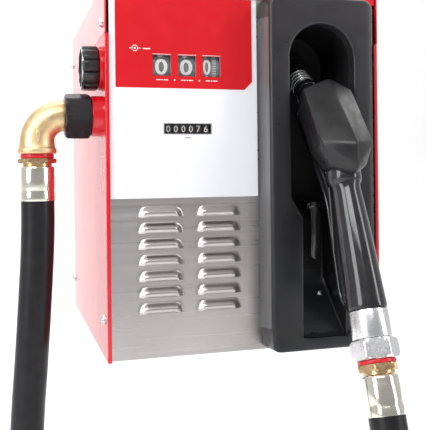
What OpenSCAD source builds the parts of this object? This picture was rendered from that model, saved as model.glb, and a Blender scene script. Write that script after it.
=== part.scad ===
// Wall-mounted diesel dispenser: red sheet-metal cabinet, louvred steel front,
// mechanical litre counter, vane pump and motor, moulded nozzle boot,
// automatic nozzle and one delivery hose.
// Origin: centre of the wall bolt pattern, on the back face. The front faces -Y.

/* [Cabinet] */
// Width of the cabinet
cab_w = 340; // [280:1:420]
// Depth of the cabinet, from the wall to the front edges of its sides
cab_d = 380; // [320:1:460]
// Height of the cabinet
cab_h = 430; // [380:1:520]
// Sheet thickness
sheet = 2; // [1:0.5:3]
// How far the front plate sits behind the front edges of the sides
plate_set = 4; // [2:0.5:8]
// Height of the hood's seam above the cabinet's middle
seam_z = 155; // [120:1:180]
// Height of the line where the white panel ends and bare steel begins
panel_z = -31.5; // [-80:0.5:40]

/* [Counter] */
// Centre height of the litre windows
window_z = 120.5; // [100:0.5:150]
// Centre of the middle litre window, left of the cabinet's middle
window_x = -75; // [-100:0.5:-40]
// Distance between the litre windows
window_pitch = 29.5; // [24:0.5:36]
// Width of a litre window
window_w = 21.3; // [16:0.1:26]
// Height of a litre window
window_h = 23.9; // [18:0.1:30]
// Radius of a litre wheel
wheel_r = 31.5; // [26:0.5:36]
// Radius of a totalizer wheel
total_r = 15; // [10:0.5:18]
// Height of the totalizer window's centre
total_z = 48; // [30:0.5:70]

/* [Louvres] */
// Number of louvres in one column
louvre_rows = 7; // [3:1:9]
// Distance between louvres
louvre_pitch = 18.3; // [14:0.1:24]
// Width of a louvre
louvre_w = 56; // [40:1:70]
// Height of a louvre
louvre_h = 13; // [8:0.5:18]

/* [Boot] */
// Centre of the nozzle boot, right of the cabinet's middle
boot_x = 79.4; // [60:0.2:100]
// Width of the boot
boot_w = 134; // [110:1:150]
// How far the boot stands out of the front plate
boot_out = 38; // [25:1:60]
// Half the width of the boot's arch
arch_r = 40.5; // [30:0.5:50]
// Height of the arch's centre
arch_z = 129; // [110:1:140]
// Half the width of the channel below the arch
channel_r = 26.4; // [20:0.2:35]

/* [Hose and outlet] */
// Outside diameter of the delivery hose
hose_d = 37; // [28:0.5:42]
// Height of the outlet
outlet_z = 63.5; // [40:0.5:90]
// How far the outlet sits in front of the wall
outlet_out = 348; // [320:1:350]
// Mean radius of the stored coil
coil_r = 210; // [190:5:240]
// Height of the level that the stored coil lies on
coil_floor = -690; // [-760:1:-500]
// Number of stored turns that lie on each other
coil_layers = 3; // [2:1:4]

/* [Nozzle] */
// Tilt of the handle from upright
handle_tilt = 20.5; // [10:0.5:30]
// Rise of the spout above level
spout_rise = 34.5; // [20:0.5:45]
// Outside diameter of the spout
spout_d = 25; // [20:0.5:30]
// Length of the spout outside its socket
spout_len = 190; // [150:1:230]

/* [Motor and pump] */
// Distance of the motor's axis from the cabinet's middle
motor_x = -60; // [-80:1:-40]
// Height of the motor's axis
motor_z = -135; // [-145:1:-120]
// Radius over the motor's cooling fins
motor_r = 60; // [50:1:64]

/* [Hidden] */
$fn = 64;

half_w = cab_w / 2;
half_h = cab_h / 2;
front_y = -cab_d;
plate_y = -cab_d + plate_set;
boot_y = plate_y - boot_out;
fit = 0.06;
knob_y = -342;
knob_z = window_z - 1;
outlet_y = -outlet_out;

// ---- shapes used by several sub-parts ----

module cyl_x(x0, x1, y, z, r) {
  translate([x0, y, z]) rotate([0, 90, 0]) cylinder(r = r, h = x1 - x0);
}
module cyl_y(x, y0, y1, z, r) {
  translate([x, y1, z]) rotate([90, 0, 0]) cylinder(r = r, h = y1 - y0);
}
module cyl_z(x, y, z0, z1, r) {
  translate([x, y, z0]) cylinder(r = r, h = z1 - z0);
}
module block(x0, x1, y0, y1, z0, z1) {
  translate([x0, y0, z0]) cube([x1 - x0, y1 - y0, z1 - z0]);
}
// A flat with round corners, drawn in the plane of the front
module rounded(w, h, r) {
  square([w - 2 * r, h], center = true);
  square([w, h - 2 * r], center = true);
  for (sx = [-1, 1])
    for (sz = [-1, 1])
      translate([sx * (w / 2 - r), sz * (h / 2 - r)]) circle(r = r);
}
// The same flat given a thickness, from y0 to y1
module panel_y(x, z, w, h, r, y0, y1) {
  translate([x, y1, z]) rotate([90, 0, 0]) linear_extrude(y1 - y0) rounded(w, h, r);
}

// ---- cabinet ----

wall_dx = 130;
wall_dz = 150;
column_x = motor_x - 75;
port_x = motor_x + 37.5;
pump_y = -145;
gland = [60, -60];

// Flat back sheet; the wall bolts go through it
module back_plate() color("DimGray") difference() {
  block(-half_w + 2.3, half_w - 2.3, -sheet, 0, -half_h, half_h - 2.3);
  for (sx = [-1, 1])
    for (sz = [-1, 1])
      cyl_y(sx * wall_dx, -sheet - 1, 1, sz * wall_dz, 4.5);
}
// Base sheet with its sides bent up; the side panels are screwed to them
module base_tray() color("DimGray") difference() {
  union() {
    block(-half_w + 2.3, half_w - 2.3, front_y + 8, -sheet - 0.1, -half_h, -half_h + sheet);
    for (sx = [-1, 1])
      translate([sx * (half_w - 3.3) - 1, front_y + 18.5, -half_h])
        cube([2, cab_d - 18.6 - sheet, 60]);
  }
  cyl_z(column_x, pump_y, -half_h - 1, -half_h + sheet + 1, 24);
  cyl_z(gland[0], gland[1], -half_h - 1, -half_h + sheet + 1, 10.2);
  for (sx = [-1, 1])
    for (y = [-12, front_y + 23])
      cyl_x(sx * half_w - 6, sx * half_w + 6, y, -170, 2.6);
}

// A side sheet, without the holes
module side_sheet(x0) {
  block(x0, x0 + sheet, front_y, 0, -half_h, seam_z - 0.4);
}
module screw_holes(x0, z) {
  for (y = [-12, front_y + 23])
    cyl_x(x0 - 1, x0 + sheet + 1, y, z, 2.6);
}
module side_panel_left() color("Crimson") difference() {
  side_sheet(-half_w);
  screw_holes(-half_w, -170);
  cyl_x(-half_w - 1, -half_w + 4, knob_y, knob_z, 12.2);
  cyl_x(-half_w - 1, -half_w + 4, outlet_y, outlet_z, 18.2);
}
module side_panel_right() color("Crimson") difference() {
  side_sheet(half_w - sheet);
  screw_holes(half_w - sheet, -170);
}
module hood() color("Crimson") difference() {
  union() {
    block(-half_w, half_w, front_y, 0, half_h - sheet, half_h);
    for (x0 = [-half_w, half_w - sheet])
      block(x0, x0 + sheet, front_y, 0, seam_z, half_h);
    block(-half_w, half_w, front_y, front_y + sheet, half_h - 12, half_h);
  }
  for (x0 = [-half_w, half_w - sheet])
    screw_holes(x0, seam_z + 15);
}

louvre_top = -40;
louvre_x = [-108.2, -39.5];

// One pressed louvre: flush at its top, open below
module louvre_cut(x, z) {
  block(x - louvre_w / 2, x + louvre_w / 2, plate_y - 1, plate_y + sheet + 1, z - louvre_h, z - 2);
}
module louvre_lip(x, z) {
  translate([x - louvre_w / 2, plate_y, z]) rotate([90, 0, 90]) linear_extrude(louvre_w)
    polygon([[0, 0], [-3, -3], [-5, -7], [-5.6, -louvre_h], [-4.4, -louvre_h], [-3.8, -7.4],
      [-2, -4], [1.2, -0.8]]);
  for (x0 = [x - louvre_w / 2, x + louvre_w / 2 - 1.4])
    translate([x0, plate_y, z]) rotate([90, 0, 90]) linear_extrude(1.4)
      polygon([[0, 0], [-3, -3], [-5, -7], [-5.6, -louvre_h], [1, -louvre_h], [1, -1]]);
}
module front_plate() color("Silver") {
  difference() {
    union() {
      block(-half_w + 3, half_w - 3, plate_y, plate_y + sheet, -half_h + 1, half_h - 3);
      for (x0 = [-half_w + 3, half_w - 5])
        block(x0, x0 + sheet, plate_y, plate_y + 9, -half_h + 3, half_h - 3);
    }
    for (i = [-1, 0, 1])
      block(window_x + i * window_pitch - window_w / 2, window_x + i * window_pitch + window_w / 2,
        plate_y - 1, plate_y + 3, window_z - window_h / 2, window_z + window_h / 2);
    block(window_x - 27.5, window_x + 28.5, plate_y - 1, plate_y + 3, total_z - 5.8, total_z + 5.8);
    block(boot_x - arch_r - 4, boot_x + arch_r + 4, plate_y - 1, plate_y + 3, -172, 175);
    for (x = louvre_x)
      for (i = [0 : louvre_rows - 1])
        louvre_cut(x, louvre_top - i * louvre_pitch);
  }
  for (x = louvre_x)
    for (i = [0 : louvre_rows - 1])
      louvre_lip(x, louvre_top - i * louvre_pitch);
}

// The openings for the figures, through the panel and the label
module window_cuts(y0, y1) {
  for (i = [-1, 0, 1])
    block(window_x + i * window_pitch - window_w / 2, window_x + i * window_pitch + window_w / 2,
      y0, y1, window_z - window_h / 2, window_z + window_h / 2);
  block(window_x - 27.5, window_x + 28.5, y0, y1, total_z - 5.8, total_z + 5.8);
}
panel_y0 = plate_y - 0.8;
module face_panel() color("WhiteSmoke") difference() {
  block(-half_w + 5, 10.6, panel_y0, plate_y, panel_z, half_h - 13);
  window_cuts(panel_y0 - 1, plate_y + 1);
}
module red_label() color("Red") difference() {
  translate([0, panel_y0, 0]) rotate([90, 0, 0]) linear_extrude(0.4)
    polygon([[-158, 94.5], [-5, 94.5], [4.5, 104], [4.5, half_h - 14], [-158, half_h - 14]]);
  window_cuts(panel_y0 - 2, plate_y + 1);
}
module window_lenses() color("LightCyan") {
  for (i = [-1, 0, 1])
    block(window_x + i * window_pitch - window_w / 2 + 0.2,
      window_x + i * window_pitch + window_w / 2 - 0.2, plate_y + 0.2, plate_y + 1.4,
      window_z - window_h / 2 + 0.2, window_z + window_h / 2 - 0.2);
  block(window_x - 27.3, window_x + 28.3, plate_y + 0.2, plate_y + 1.4, total_z - 5.6, total_z + 5.6);
}

// A domed screw along X; s is the side that its head is on
module side_screw(s, y, z) {
  translate([s * half_w, y, z]) rotate([0, s * 90, 0]) {
    intersection() {
      translate([0, 0, -3]) sphere(r = 6.4);
      cylinder(r = 5.6, h = 4);
    }
    translate([0, 0, -7]) cylinder(r = 2.5, h = 7.1);
  }
}
module case_screws() color("Gray") {
  for (s = [-1, 1])
    for (y = [-12, front_y + 23])
      for (z = [-170, seam_z + 15])
        side_screw(s, y, z);
}

// ---- nozzle boot ----

boot_z0 = -213;
boot_z1 = 202.5;
pocket_y = -321;
channel_y = -352;
ramp_z = -137;
ramp_end = -196;
spout_dir = [0, cos(spout_rise), sin(spout_rise)];
// Where the spout leaves its socket on the nozzle
socket = [boot_x, -395, 75.7];

// Lays what is drawn along Z on the spout's axis, from the socket
module on_spout() {
  translate(socket) rotate([spout_rise - 90, 0, 0]) children();
}
// The arch with its straight sides, m larger all round
module arch_shape(m) {
  translate([boot_x, arch_z]) circle(r = arch_r + m);
  polygon([[boot_x - arch_r - m, arch_z], [boot_x - arch_r - m, -32 - m / 2],
    [boot_x - channel_r - m, -57 - m / 2], [boot_x + channel_r + m, -57 - m / 2],
    [boot_x + arch_r + m, -32 - m / 2], [boot_x + arch_r + m, arch_z]]);
}
module channel_shape(m, z_low) {
  polygon([[boot_x - channel_r - m, -30], [boot_x - channel_r - m, z_low],
    [boot_x + channel_r + m, z_low], [boot_x + channel_r + m, -30]]);
}
module lug_y(x0, x1) {
  block(x0, x1, -366, pocket_y + 1, -50, -40);
}
module boot_housing() color("DarkSlateGray") difference() {
  union() {
    panel_y(boot_x, (boot_z0 + boot_z1) / 2, boot_w, boot_z1 - boot_z0, 14, boot_y, plate_y);
    translate([0, pocket_y + 3, 0]) rotate([90, 0, 0]) linear_extrude(pocket_y + 3 - plate_y)
      arch_shape(3);
    translate([0, channel_y + 3, 0]) rotate([90, 0, 0]) linear_extrude(channel_y + 3 - plate_y)
      channel_shape(3, ramp_z - 31);
    on_spout() translate([0, 0, 84]) cylinder(r = 21, h = 124);
  }
  difference() {
    union() {
      translate([0, pocket_y, 0]) rotate([90, 0, 0]) linear_extrude(200) arch_shape(0);
      translate([0, channel_y, 0]) rotate([90, 0, 0]) linear_extrude(200)
        channel_shape(0, ramp_z);
      translate([boot_x - channel_r, 0, 0]) rotate([90, 0, 90]) linear_extrude(2 * channel_r)
        polygon([[channel_y, ramp_z], [boot_y + 3, ramp_end], [boot_y - 2, ramp_end],
          [boot_y - 2, ramp_z]]);
    }
    for (x = [boot_x + 1, boot_x + 19])
      lug_y(x - 1, x + 1);
  }
  on_spout() translate([0, 0, 60]) cylinder(r = 18.5, h = 144);
  cyl_x(boot_x - 1, boot_x + 21, lever_y, lever_z, 3 + fit);
}

lever_y = -361;
lever_z = -45;
// The hanging lever that switches the motor on; its pin turns in the boot's lugs
module switch_lever() color("Black") {
  cyl_x(boot_x + 0.2, boot_x + 19.8, lever_y, lever_z, 3);
  difference() {
    union() {
      block(boot_x + 2.4, boot_x + 17.6, lever_y - 4, lever_y, -104, lever_z);
      cyl_x(boot_x + 2.4, boot_x + 17.6, lever_y, lever_z, 5.5);
      cyl_y(boot_x + 10, lever_y - 4, lever_y, -104, 7.6);
    }
    cyl_y(boot_x + 10, lever_y - 5, lever_y - 3, -96, 4);
  }
}
module switch_box() color("DimGray") {
  block(boot_x - 10, boot_x + 26, channel_y + 3.2, channel_y + 31, -112, -64);
  cyl_y(boot_x + 8, channel_y + 30.9, channel_y + 40, -88, 7);
}

// ---- counter ----

module knob() color("Black") {
  difference() {
    union() {
      cyl_x(-193, -174, knob_y, knob_z, 25.8);
    }
    for (i = [0 : 9])
      rotate_about_knob(36 * i) cyl_x(-194, -173, knob_y, knob_z + 28.5, 6);
    translate([-193.2, knob_y, knob_z]) rotate([0, 90, 0]) difference() {
      cylinder(r = 30, h = 2.4);
      cylinder(r1 = 23.2, r2 = 25.8, h = 2.4);
    }
  }
  cyl_x(-180, -10, knob_y, knob_z, 5);
}
module rotate_about_knob(a) {
  translate([0, knob_y, knob_z]) rotate([a, 0, 0]) translate([0, -knob_y, -knob_z]) children();
}
// Red bushings that close the cabinet's side round the shaft and the outlet pipe
module side_bosses() color("Crimson") {
  difference() {
    union() {
      cyl_x(-173.6, -half_w, knob_y, knob_z, 25.4);
      cyl_x(-half_w, -160, knob_y, knob_z, 12);
    }
    cyl_x(-174, -159, knob_y, knob_z, 5 + fit);
  }
  difference() {
    union() {
      cyl_x(-183, -half_w, outlet_y, outlet_z, 23.5);
      cyl_x(-half_w, -163, outlet_y, outlet_z, 18);
    }
    cyl_x(-184, -162, outlet_y, outlet_z, 15.2);
  }
}
total_y = plate_y + sheet + 1.2 + total_r;
module counter_frame() color("Silver") difference() {
  union() {
    for (x0 = [-121, -12])
      block(x0, x0 + 2.5, plate_y + 4, -304, 80, 156);
    block(-121, -9.5, plate_y + 4, -304, 80, 82.5);
    block(-121, -9.5, -307, -304, 150, 156);
    for (x0 = [-108, -44])
      block(x0, x0 + 3, plate_y + 4, -338, 28, 82);
    cyl_x(-108, -41, total_y, total_z, 2);
    for (x = [-114.5, -15])
      block(x - 6, x + 6, plate_y + sheet + 0.1, plate_y + 6, 140, 156);
  }
  cyl_x(-122, -8, knob_y, knob_z, 5 + fit);
}
// A figure wheel on its shaft; the rim is cut by light grooves between the figures
module figure_wheel(x, w, y, z, r, bore) {
  difference() {
    cyl_x(x - w / 2, x + w / 2, y, z, r);
    cyl_x(x - w / 2 - 1, x + w / 2 + 1, y, z, bore + fit);
    for (s = [-1, 1])
      difference() {
        cyl_x(x + s * w / 2 - 1.5, x + s * w / 2 + 1.5, y, z, r - 2);
        cyl_x(x + s * w / 2 - 2, x + s * w / 2 + 2, y, z, bore + 2.5);
      }
  }
}
module litre_wheel(i) color("White") {
  figure_wheel(window_x + (i - 2) * window_pitch, 22, knob_y, knob_z, wheel_r - 0.5, 5);
}
crown_x = window_x + window_pitch + 11;
module litre_wheel_1() litre_wheel(1);
module litre_wheel_2() litre_wheel(2);
module litre_wheel_3() {
  litre_wheel(3);
  color("Gold") difference() {
    union() {
      cyl_x(crown_x - 0.1, crown_x + 3, knob_y, knob_z, 25);
      for (i = [0 : 31])
        translate([0, knob_y, knob_z]) rotate([i * 360 / 32, 0, 0])
          translate([crown_x + 2.9, 19.5, -0.9]) cube([2, 5.5, 1.8]);
    }
    cyl_x(crown_x - 1, crown_x + 8, knob_y, knob_z, 5 + fit);
  }
}
total_pitch = 9;
module total_wheel(i) color("DarkSlateGray") {
  figure_wheel(window_x + 0.5 + (i - 3.5) * total_pitch, 8.4, total_y, total_z, total_r, 2);
}
module total_wheel_1() total_wheel(1);
module total_wheel_2() total_wheel(2);
module total_wheel_3() total_wheel(3);
module total_wheel_4() total_wheel(4);
module total_wheel_5() total_wheel(5);
module total_wheel_6() total_wheel(6);

// ---- meter ----

meter_x = port_x;
meter_y0 = -300;
meter_y1 = -240;
duct_y = -270;
pipe_r = 15;
pipe_bore = 12.5;
bend = 25;
module meter_body() color("DarkGray") difference() {
  union() {
    cyl_y(meter_x, meter_y0, meter_y1, knob_z, 48);
    cyl_y(meter_x, meter_y0 + 24, meter_y0 + 34, knob_z, 54);
    cyl_y(meter_x, meter_y0 - 3, meter_y0 + 1, knob_z, 11);
    cyl_x(-85, meter_x, duct_y, outlet_z, 20);
    translate([meter_x, duct_y, outlet_z]) sphere(r = 20);
  }
  cyl_y(meter_x, meter_y0 + 6, meter_y1 - 8, knob_z, 41);
  cyl_y(meter_x, meter_y0 - 4, meter_y0 + 7, knob_z, 3 + fit);
  cyl_y(meter_x, meter_y1 - 9, meter_y1 + 1, knob_z, pipe_r + 0.1);
  cyl_x(-86, -70, duct_y, outlet_z, pipe_r + 0.1);
  cyl_x(-71, meter_x, duct_y, outlet_z, pipe_bore);
  cyl_z(meter_x, duct_y, outlet_z, knob_z, 10);
}
module meter_rotor() color("SteelBlue") {
  cyl_y(meter_x, meter_y0 + 9, meter_y1 - 12, knob_z, 30);
  for (i = [0 : 5])
    translate([meter_x, 0, knob_z]) rotate([0, i * 60, 0])
      block(28, 39, meter_y0 + 9, meter_y1 - 12, -4, 4);
  cyl_y(meter_x, -324, meter_y0 + 10, knob_z, 3);
  cyl_y(meter_x, -324, -316, knob_z, 4.6);
  for (i = [0 : 7])
    translate([meter_x, 0, knob_z]) rotate([0, i * 45, 0]) block(4, 6, -324, -316, -0.9, 0.9);
}
// A solid quarter bend, from the origin along +Z and turning towards +X
module bend_solid(r, r_bend) {
  translate([r_bend, 0, 0]) rotate([90, 0, 180]) rotate_extrude(angle = 90)
    translate([r_bend, 0]) circle(r = r);
}
module pipe_bend(r_out, r_in, r_bend) {
  difference() {
    bend_solid(r_out, r_bend);
    bend_solid(r_in, r_bend);
  }
}

// ---- outlet ----

duct_end = -97;
// From the meter's duct, forward, and out through the left side
module outlet_pipe() color("Silver") {
  run_x = duct_end - bend;
  difference() {
    cyl_x(duct_end, -71, duct_y, outlet_z, pipe_r);
    cyl_x(duct_end - 1, -70, duct_y, outlet_z, pipe_bore);
  }
  translate([duct_end, duct_y, outlet_z]) rotate([-90, 0, 90]) rotate([0, 0, 180])
    mirror([0, 1, 0]) pipe_bend(pipe_r, pipe_bore, bend);
  difference() {
    cyl_y(run_x, outlet_y + bend, duct_y - bend, outlet_z, pipe_r);
    cyl_y(run_x, outlet_y + bend - 1, duct_y - bend + 1, outlet_z, pipe_bore);
  }
  translate([run_x, outlet_y + bend, outlet_z]) rotate([90, 0, 0]) mirror([1, 0, 0])
    pipe_bend(pipe_r, pipe_bore, bend);
  difference() {
    cyl_x(-197, run_x - bend, outlet_y, outlet_z, pipe_r);
    cyl_x(-198, run_x - bend + 1, outlet_y, outlet_z, pipe_bore);
  }
}
nut_r = 26.8;
nut_x0 = -212.5;
nut_x1 = -183.3;
// Union nut, chamfered at both ends
module union_nut() color("Black") difference() {
  intersection() {
    translate([nut_x0, outlet_y, outlet_z]) rotate([0, 90, 0]) rotate([0, 0, 17.4 - 90])
      cylinder(r = nut_r, h = nut_x1 - nut_x0, $fn = 6);
    union() {
      translate([nut_x0, outlet_y, outlet_z]) rotate([0, 90, 0]) cylinder(r1 = 23, r2 = 27.5, h = 4);
      cyl_x(nut_x0 + 4, nut_x1 - 4, outlet_y, outlet_z, 27.5);
      translate([nut_x1 - 4, outlet_y, outlet_z]) rotate([0, 90, 0])
        cylinder(r1 = 27.5, r2 = 23, h = 4);
    }
  }
  cyl_x(nut_x0 - 1, -198, outlet_y, outlet_z, 16.8);
  cyl_x(-199, nut_x1 + 1, outlet_y, outlet_z, 15.2);
}
drop_x = -243;
elbow_bend = 30;
module outlet_elbow() color("Goldenrod") difference() {
  union() {
    cyl_x(drop_x + elbow_bend, -199, outlet_y, outlet_z, 16.5);
    translate([drop_x, outlet_y, outlet_z - elbow_bend]) bend_solid(18.4, elbow_bend);
    cyl_z(drop_x, outlet_y, 20.3, outlet_z - elbow_bend, 19.8);
    cyl_z(drop_x, outlet_y, 20.3, 25.8, 21.6);
  }
  union() {
    cyl_x(drop_x + elbow_bend, -198, outlet_y, outlet_z, 12.2);
    translate([drop_x, outlet_y, outlet_z - elbow_bend]) bend_solid(12.2, elbow_bend);
    cyl_z(drop_x, outlet_y, 20, outlet_z - elbow_bend, 12.2);
    cyl_z(drop_x, outlet_y, 20, 27.5, 13.8);
  }
}
module elbow_seal() color("Red") difference() {
  cyl_z(drop_x, outlet_y, 15, 20.2, 18.3);
  cyl_z(drop_x, outlet_y, 14, 21, 13.9);
}
// A hose tail: a thin hexagon with a spigot into the fitting above and one into the hose
module hose_tail(collar, neck, spigot) {
  difference() {
    union() {
      intersection() {
        cylinder(r = 21.6, h = collar, $fn = 6);
        cylinder(r = 20.9, h = collar);
      }
      translate([0, 0, -neck]) cylinder(r = 16, h = neck);
      translate([0, 0, -neck - 30]) cylinder(r = 12, h = 31);
      cylinder(r = 13.7, h = collar + spigot);
    }
    translate([0, 0, -neck - 31]) cylinder(r = 9.5, h = 60 + neck);
  }
}
module hose_tail_outlet() color("Goldenrod") {
  translate([drop_x, outlet_y, 9.6]) hose_tail(5.3, 2.8, 12);
}
// A rolled ferrule, from the origin down
module ferrule(len) {
  difference() {
    union() {
      translate([0, 0, -len]) cylinder(r = 18.9, h = len - 2);
      translate([0, 0, -2]) cylinder(r1 = 18.9, r2 = 17, h = 2);
    }
    translate([0, 0, -len - 1]) cylinder(r = 12.1, h = len + 2);
  }
}
module ferrule_outlet() color("Gainsboro") {
  translate([drop_x, outlet_y, 6.7]) ferrule(39.3);
}

// ---- pump ----

pump_y0 = -175;
pump_y1 = -115;
chamber_z = motor_z + 4.5;
// Tapping radius of the 1 inch pipe thread
thread_r = 15.15;
bypass_x = motor_x - 12;
module delivery_pipe() color("Silver") {
  z0 = -61;
  z1 = knob_z - bend;
  difference() {
    cyl_z(port_x, pump_y, z0 - 13, z1, pipe_r);
    cyl_z(port_x, pump_y, z0 - 14, z1 + 1, pipe_bore);
  }
  translate([port_x, pump_y, z1]) rotate([0, 0, -90]) pipe_bend(pipe_r, pipe_bore, bend);
  difference() {
    cyl_y(port_x, meter_y1 - 7, pump_y - bend, knob_z, pipe_r);
    cyl_y(port_x, meter_y1 - 8, pump_y - bend + 1, knob_z, pipe_bore);
  }
}
module pump_body() color("DimGray") difference() {
  union() {
    cyl_y(motor_x, pump_y0, pump_y1, motor_z, 52);
    cyl_z(column_x, pump_y, -half_h - 8, -60, 23);
    cyl_x(column_x, motor_x, pump_y, motor_z, 18);
    cyl_z(port_x, pump_y, motor_z, -61, 20);
    cyl_z(bypass_x, pump_y, -96, -42, 16);
  }
  cyl_y(motor_x, pump_y0 + 6, pump_y1 + 1, chamber_z, 40);
  cyl_y(motor_x, pump_y0 - 1, pump_y0 + 7, motor_z, 7 + fit);
  cyl_z(column_x, pump_y, -half_h - 9, -195, thread_r);
  cyl_z(column_x, pump_y, -196, -59, 14);
  cyl_x(column_x, motor_x - 36, pump_y, motor_z, 9);
  cyl_z(port_x, pump_y, motor_z, -59, pipe_bore);
  cyl_z(port_x, pump_y, -75, -59, pipe_r + 0.1);
  cyl_z(bypass_x, pump_y, -84, -41, 10 + fit);
  cyl_z(bypass_x, pump_y, -100, -83, 6);
}
module pump_cover() color("DimGray") {
  cyl_y(motor_x, pump_y1 + 0.1, pump_y1 + 8, motor_z, 52);
  for (i = [0 : 5])
    translate([motor_x, 0, motor_z]) rotate([0, 60 * i + 30, 0])
      cyl_y(46, pump_y1 + 7.9, pump_y1 + 12, 0, 4);
}
module pump_rotor() color("Silver") difference() {
  cyl_y(motor_x, pump_y0 + 6.3, pump_y1 - 0.3, motor_z, 35);
  cyl_y(motor_x, pump_y0 + 5, pump_y1 + 1, motor_z, 7.1);
  for (i = [0 : 4])
    translate([motor_x, 0, motor_z]) rotate([0, 72 * i, 0])
      block(20, 36, pump_y0 + 5, pump_y1 + 1, -2.1, 2.1);
}
module pump_vanes() color("Black") {
  for (i = [0 : 4])
    translate([motor_x, 0, motor_z]) rotate([0, 72 * i, 0])
      block(20.2, 34.8, pump_y0 + 6.4, pump_y1 - 0.4, -2, 2);
}
// Screwed caps of the strainer and of the bypass valve
module pump_caps() color("Goldenrod") {
  translate([column_x, pump_y, -59.9]) cylinder(r = 21, h = 6);
  translate([column_x, pump_y, -53.9]) cylinder(r = 12, h = 8, $fn = 6);
  translate([column_x, pump_y, -70]) cylinder(r = 13.8, h = 10.2);
  translate([bypass_x, pump_y, -41.9]) cylinder(r = 15, h = 5);
  translate([bypass_x, pump_y, -36.9]) cylinder(r = 9, h = 7, $fn = 6);
}
module bypass_poppet() color("Goldenrod") {
  cyl_z(bypass_x, pump_y, -82.8, -70, 10);
  cyl_z(bypass_x, pump_y, -70.1, -55, 4);
}

// ---- motor ----

motor_y0 = -308;
motor_y1 = -182;
// Cast frame with its feet and its terminal box
module motor_frame() color("DarkGray") difference() {
  union() {
    cyl_y(motor_x, motor_y0, motor_y1, motor_z, 54);
    cyl_y(motor_x, motor_y1 - 0.1, pump_y0 - 0.2, motor_z, 40);
    for (i = [0 : 29])
      translate([motor_x, 0, motor_z]) rotate([0, 12 * i, 0])
        block(53, motor_r, motor_y0 + 14, motor_y1 - 8, -1, 1);
    for (x = [motor_x - 40, motor_x + 28])
      block(x, x + 12, motor_y0 + 30, motor_y1 - 20, -half_h + sheet + 0.1, motor_z - 40);
    block(motor_x - 30, motor_x + 30, motor_y0 + 30, motor_y1 - 30, motor_z + 48, motor_z + 88);
    block(motor_x - 32, motor_x + 32, motor_y0 + 28, motor_y1 - 28, motor_z + 87, motor_z + 91);
    block(motor_x - 50, motor_x + 50, motor_y0 + 30, motor_y1 - 20, -half_h + sheet + 0.1,
      -half_h + sheet + 7);
  }
  cyl_y(motor_x, motor_y0 + 7, motor_y1 - 7, motor_z, 47);
  cyl_y(motor_x, motor_y0 - 1, pump_y0 + 1, motor_z, 7 + fit);
}
module stator() color("Peru") difference() {
  cyl_y(motor_x, motor_y0 + 18, motor_y1 - 24, motor_z, 46.9);
  cyl_y(motor_x, motor_y0 + 17, motor_y1 - 23, motor_z, 32);
}
module motor_shaft() color("Silver") {
  cyl_y(motor_x, -346, pump_y1 - 0.4, motor_z, 7);
  cyl_y(motor_x, motor_y0 + 20, motor_y1 - 26, motor_z, 31);
}
module motor_fan() color("White") difference() {
  union() {
    cyl_y(motor_x, -340, -322, motor_z, 14);
    cyl_y(motor_x, -324, -322, motor_z, 46);
    for (i = [0 : 7])
      translate([motor_x, 0, motor_z]) rotate([0, 45 * i, 0])
        block(12, 46, -340, -323.9, -1.5, 1.5);
  }
  cyl_y(motor_x, -341, -321, motor_z, 7.1);
}
module fan_cowl() color("DimGray") difference() {
  cyl_y(motor_x, -352, motor_y0 + 12, motor_z, 62);
  cyl_y(motor_x, -350, motor_y0 + 13, motor_z, 60.3);
  for (ring = [0 : 2])
    for (i = [0 : 5 + 6 * ring])
      translate([motor_x, 0, motor_z]) rotate([0, i * 360 / (6 + 6 * ring), 0])
        cyl_y(16 + 15 * ring, -353, -349, 0, 5);
}
// Gland for the mains lead, through the base
module cable_gland() color("Black") difference() {
  union() {
    translate([gland[0], gland[1], -half_h + sheet + 0.1]) cylinder(r = 15, h = 6, $fn = 6);
    cyl_z(gland[0], gland[1], -half_h - 8, -half_h + 12, 10);
    translate([gland[0], gland[1], -half_h - 7.1]) cylinder(r = 14, h = 7, $fn = 6);
    cyl_z(gland[0], gland[1], -half_h - 18, -half_h - 7, 12);
  }
  cyl_z(gland[0], gland[1], -half_h - 19, -half_h + 13, 5);
}

// ---- nozzle ----

// The lower end of the handle
handle_end = [boot_x, -514.5, -147];
handle_len = 150;
knuckle = [boot_x, -470, 14];
pivot = [boot_x, -388, 50];

// Lays what is drawn along Z on the handle's axis, from its lower end
module on_handle() {
  translate(handle_end) rotate([-handle_tilt, 0, 0]) children();
}
module nozzle_body() color("Black") {
  difference() {
    union() {
      on_handle() cylinder(r1 = 19.5, r2 = 17.5, h = handle_len);
      translate(knuckle) sphere(r = 26);
      on_spout() translate([0, 0, -72]) sphere(r = 24.6);
      on_spout() translate([0, 0, -72]) cylinder(r = 23, h = 72);
    }
    on_handle() translate([0, 0, -1]) cylinder(r = 10 + fit, h = 34);
    on_handle() translate([0, 0, 20]) cylinder(r = 8, h = handle_len);
    on_spout() translate([0, 0, -30]) cylinder(r = spout_d / 2 + 0.1, h = 31);
    on_spout() translate([0, 0, -70]) cylinder(r = 8, h = 60);
    cyl_x(boot_x - 7.6, boot_x + 7.6, pivot[1], pivot[2], 6);
  }
  for (s = [-1, 1])
    translate([boot_x + s * 9.5 - 1.5, 0, 0]) {
      cyl_x(-0.4, 3.4, pivot[1], pivot[2], 6.4);
      translate([0, pivot[1], pivot[2]]) rotate([spout_rise, 0, 0]) translate([0, -7, 0])
        cube([3, 13, 8]);
    }
  cyl_x(boot_x - 12, boot_x + 12, pivot[1], pivot[2], 2.5);
}
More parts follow.
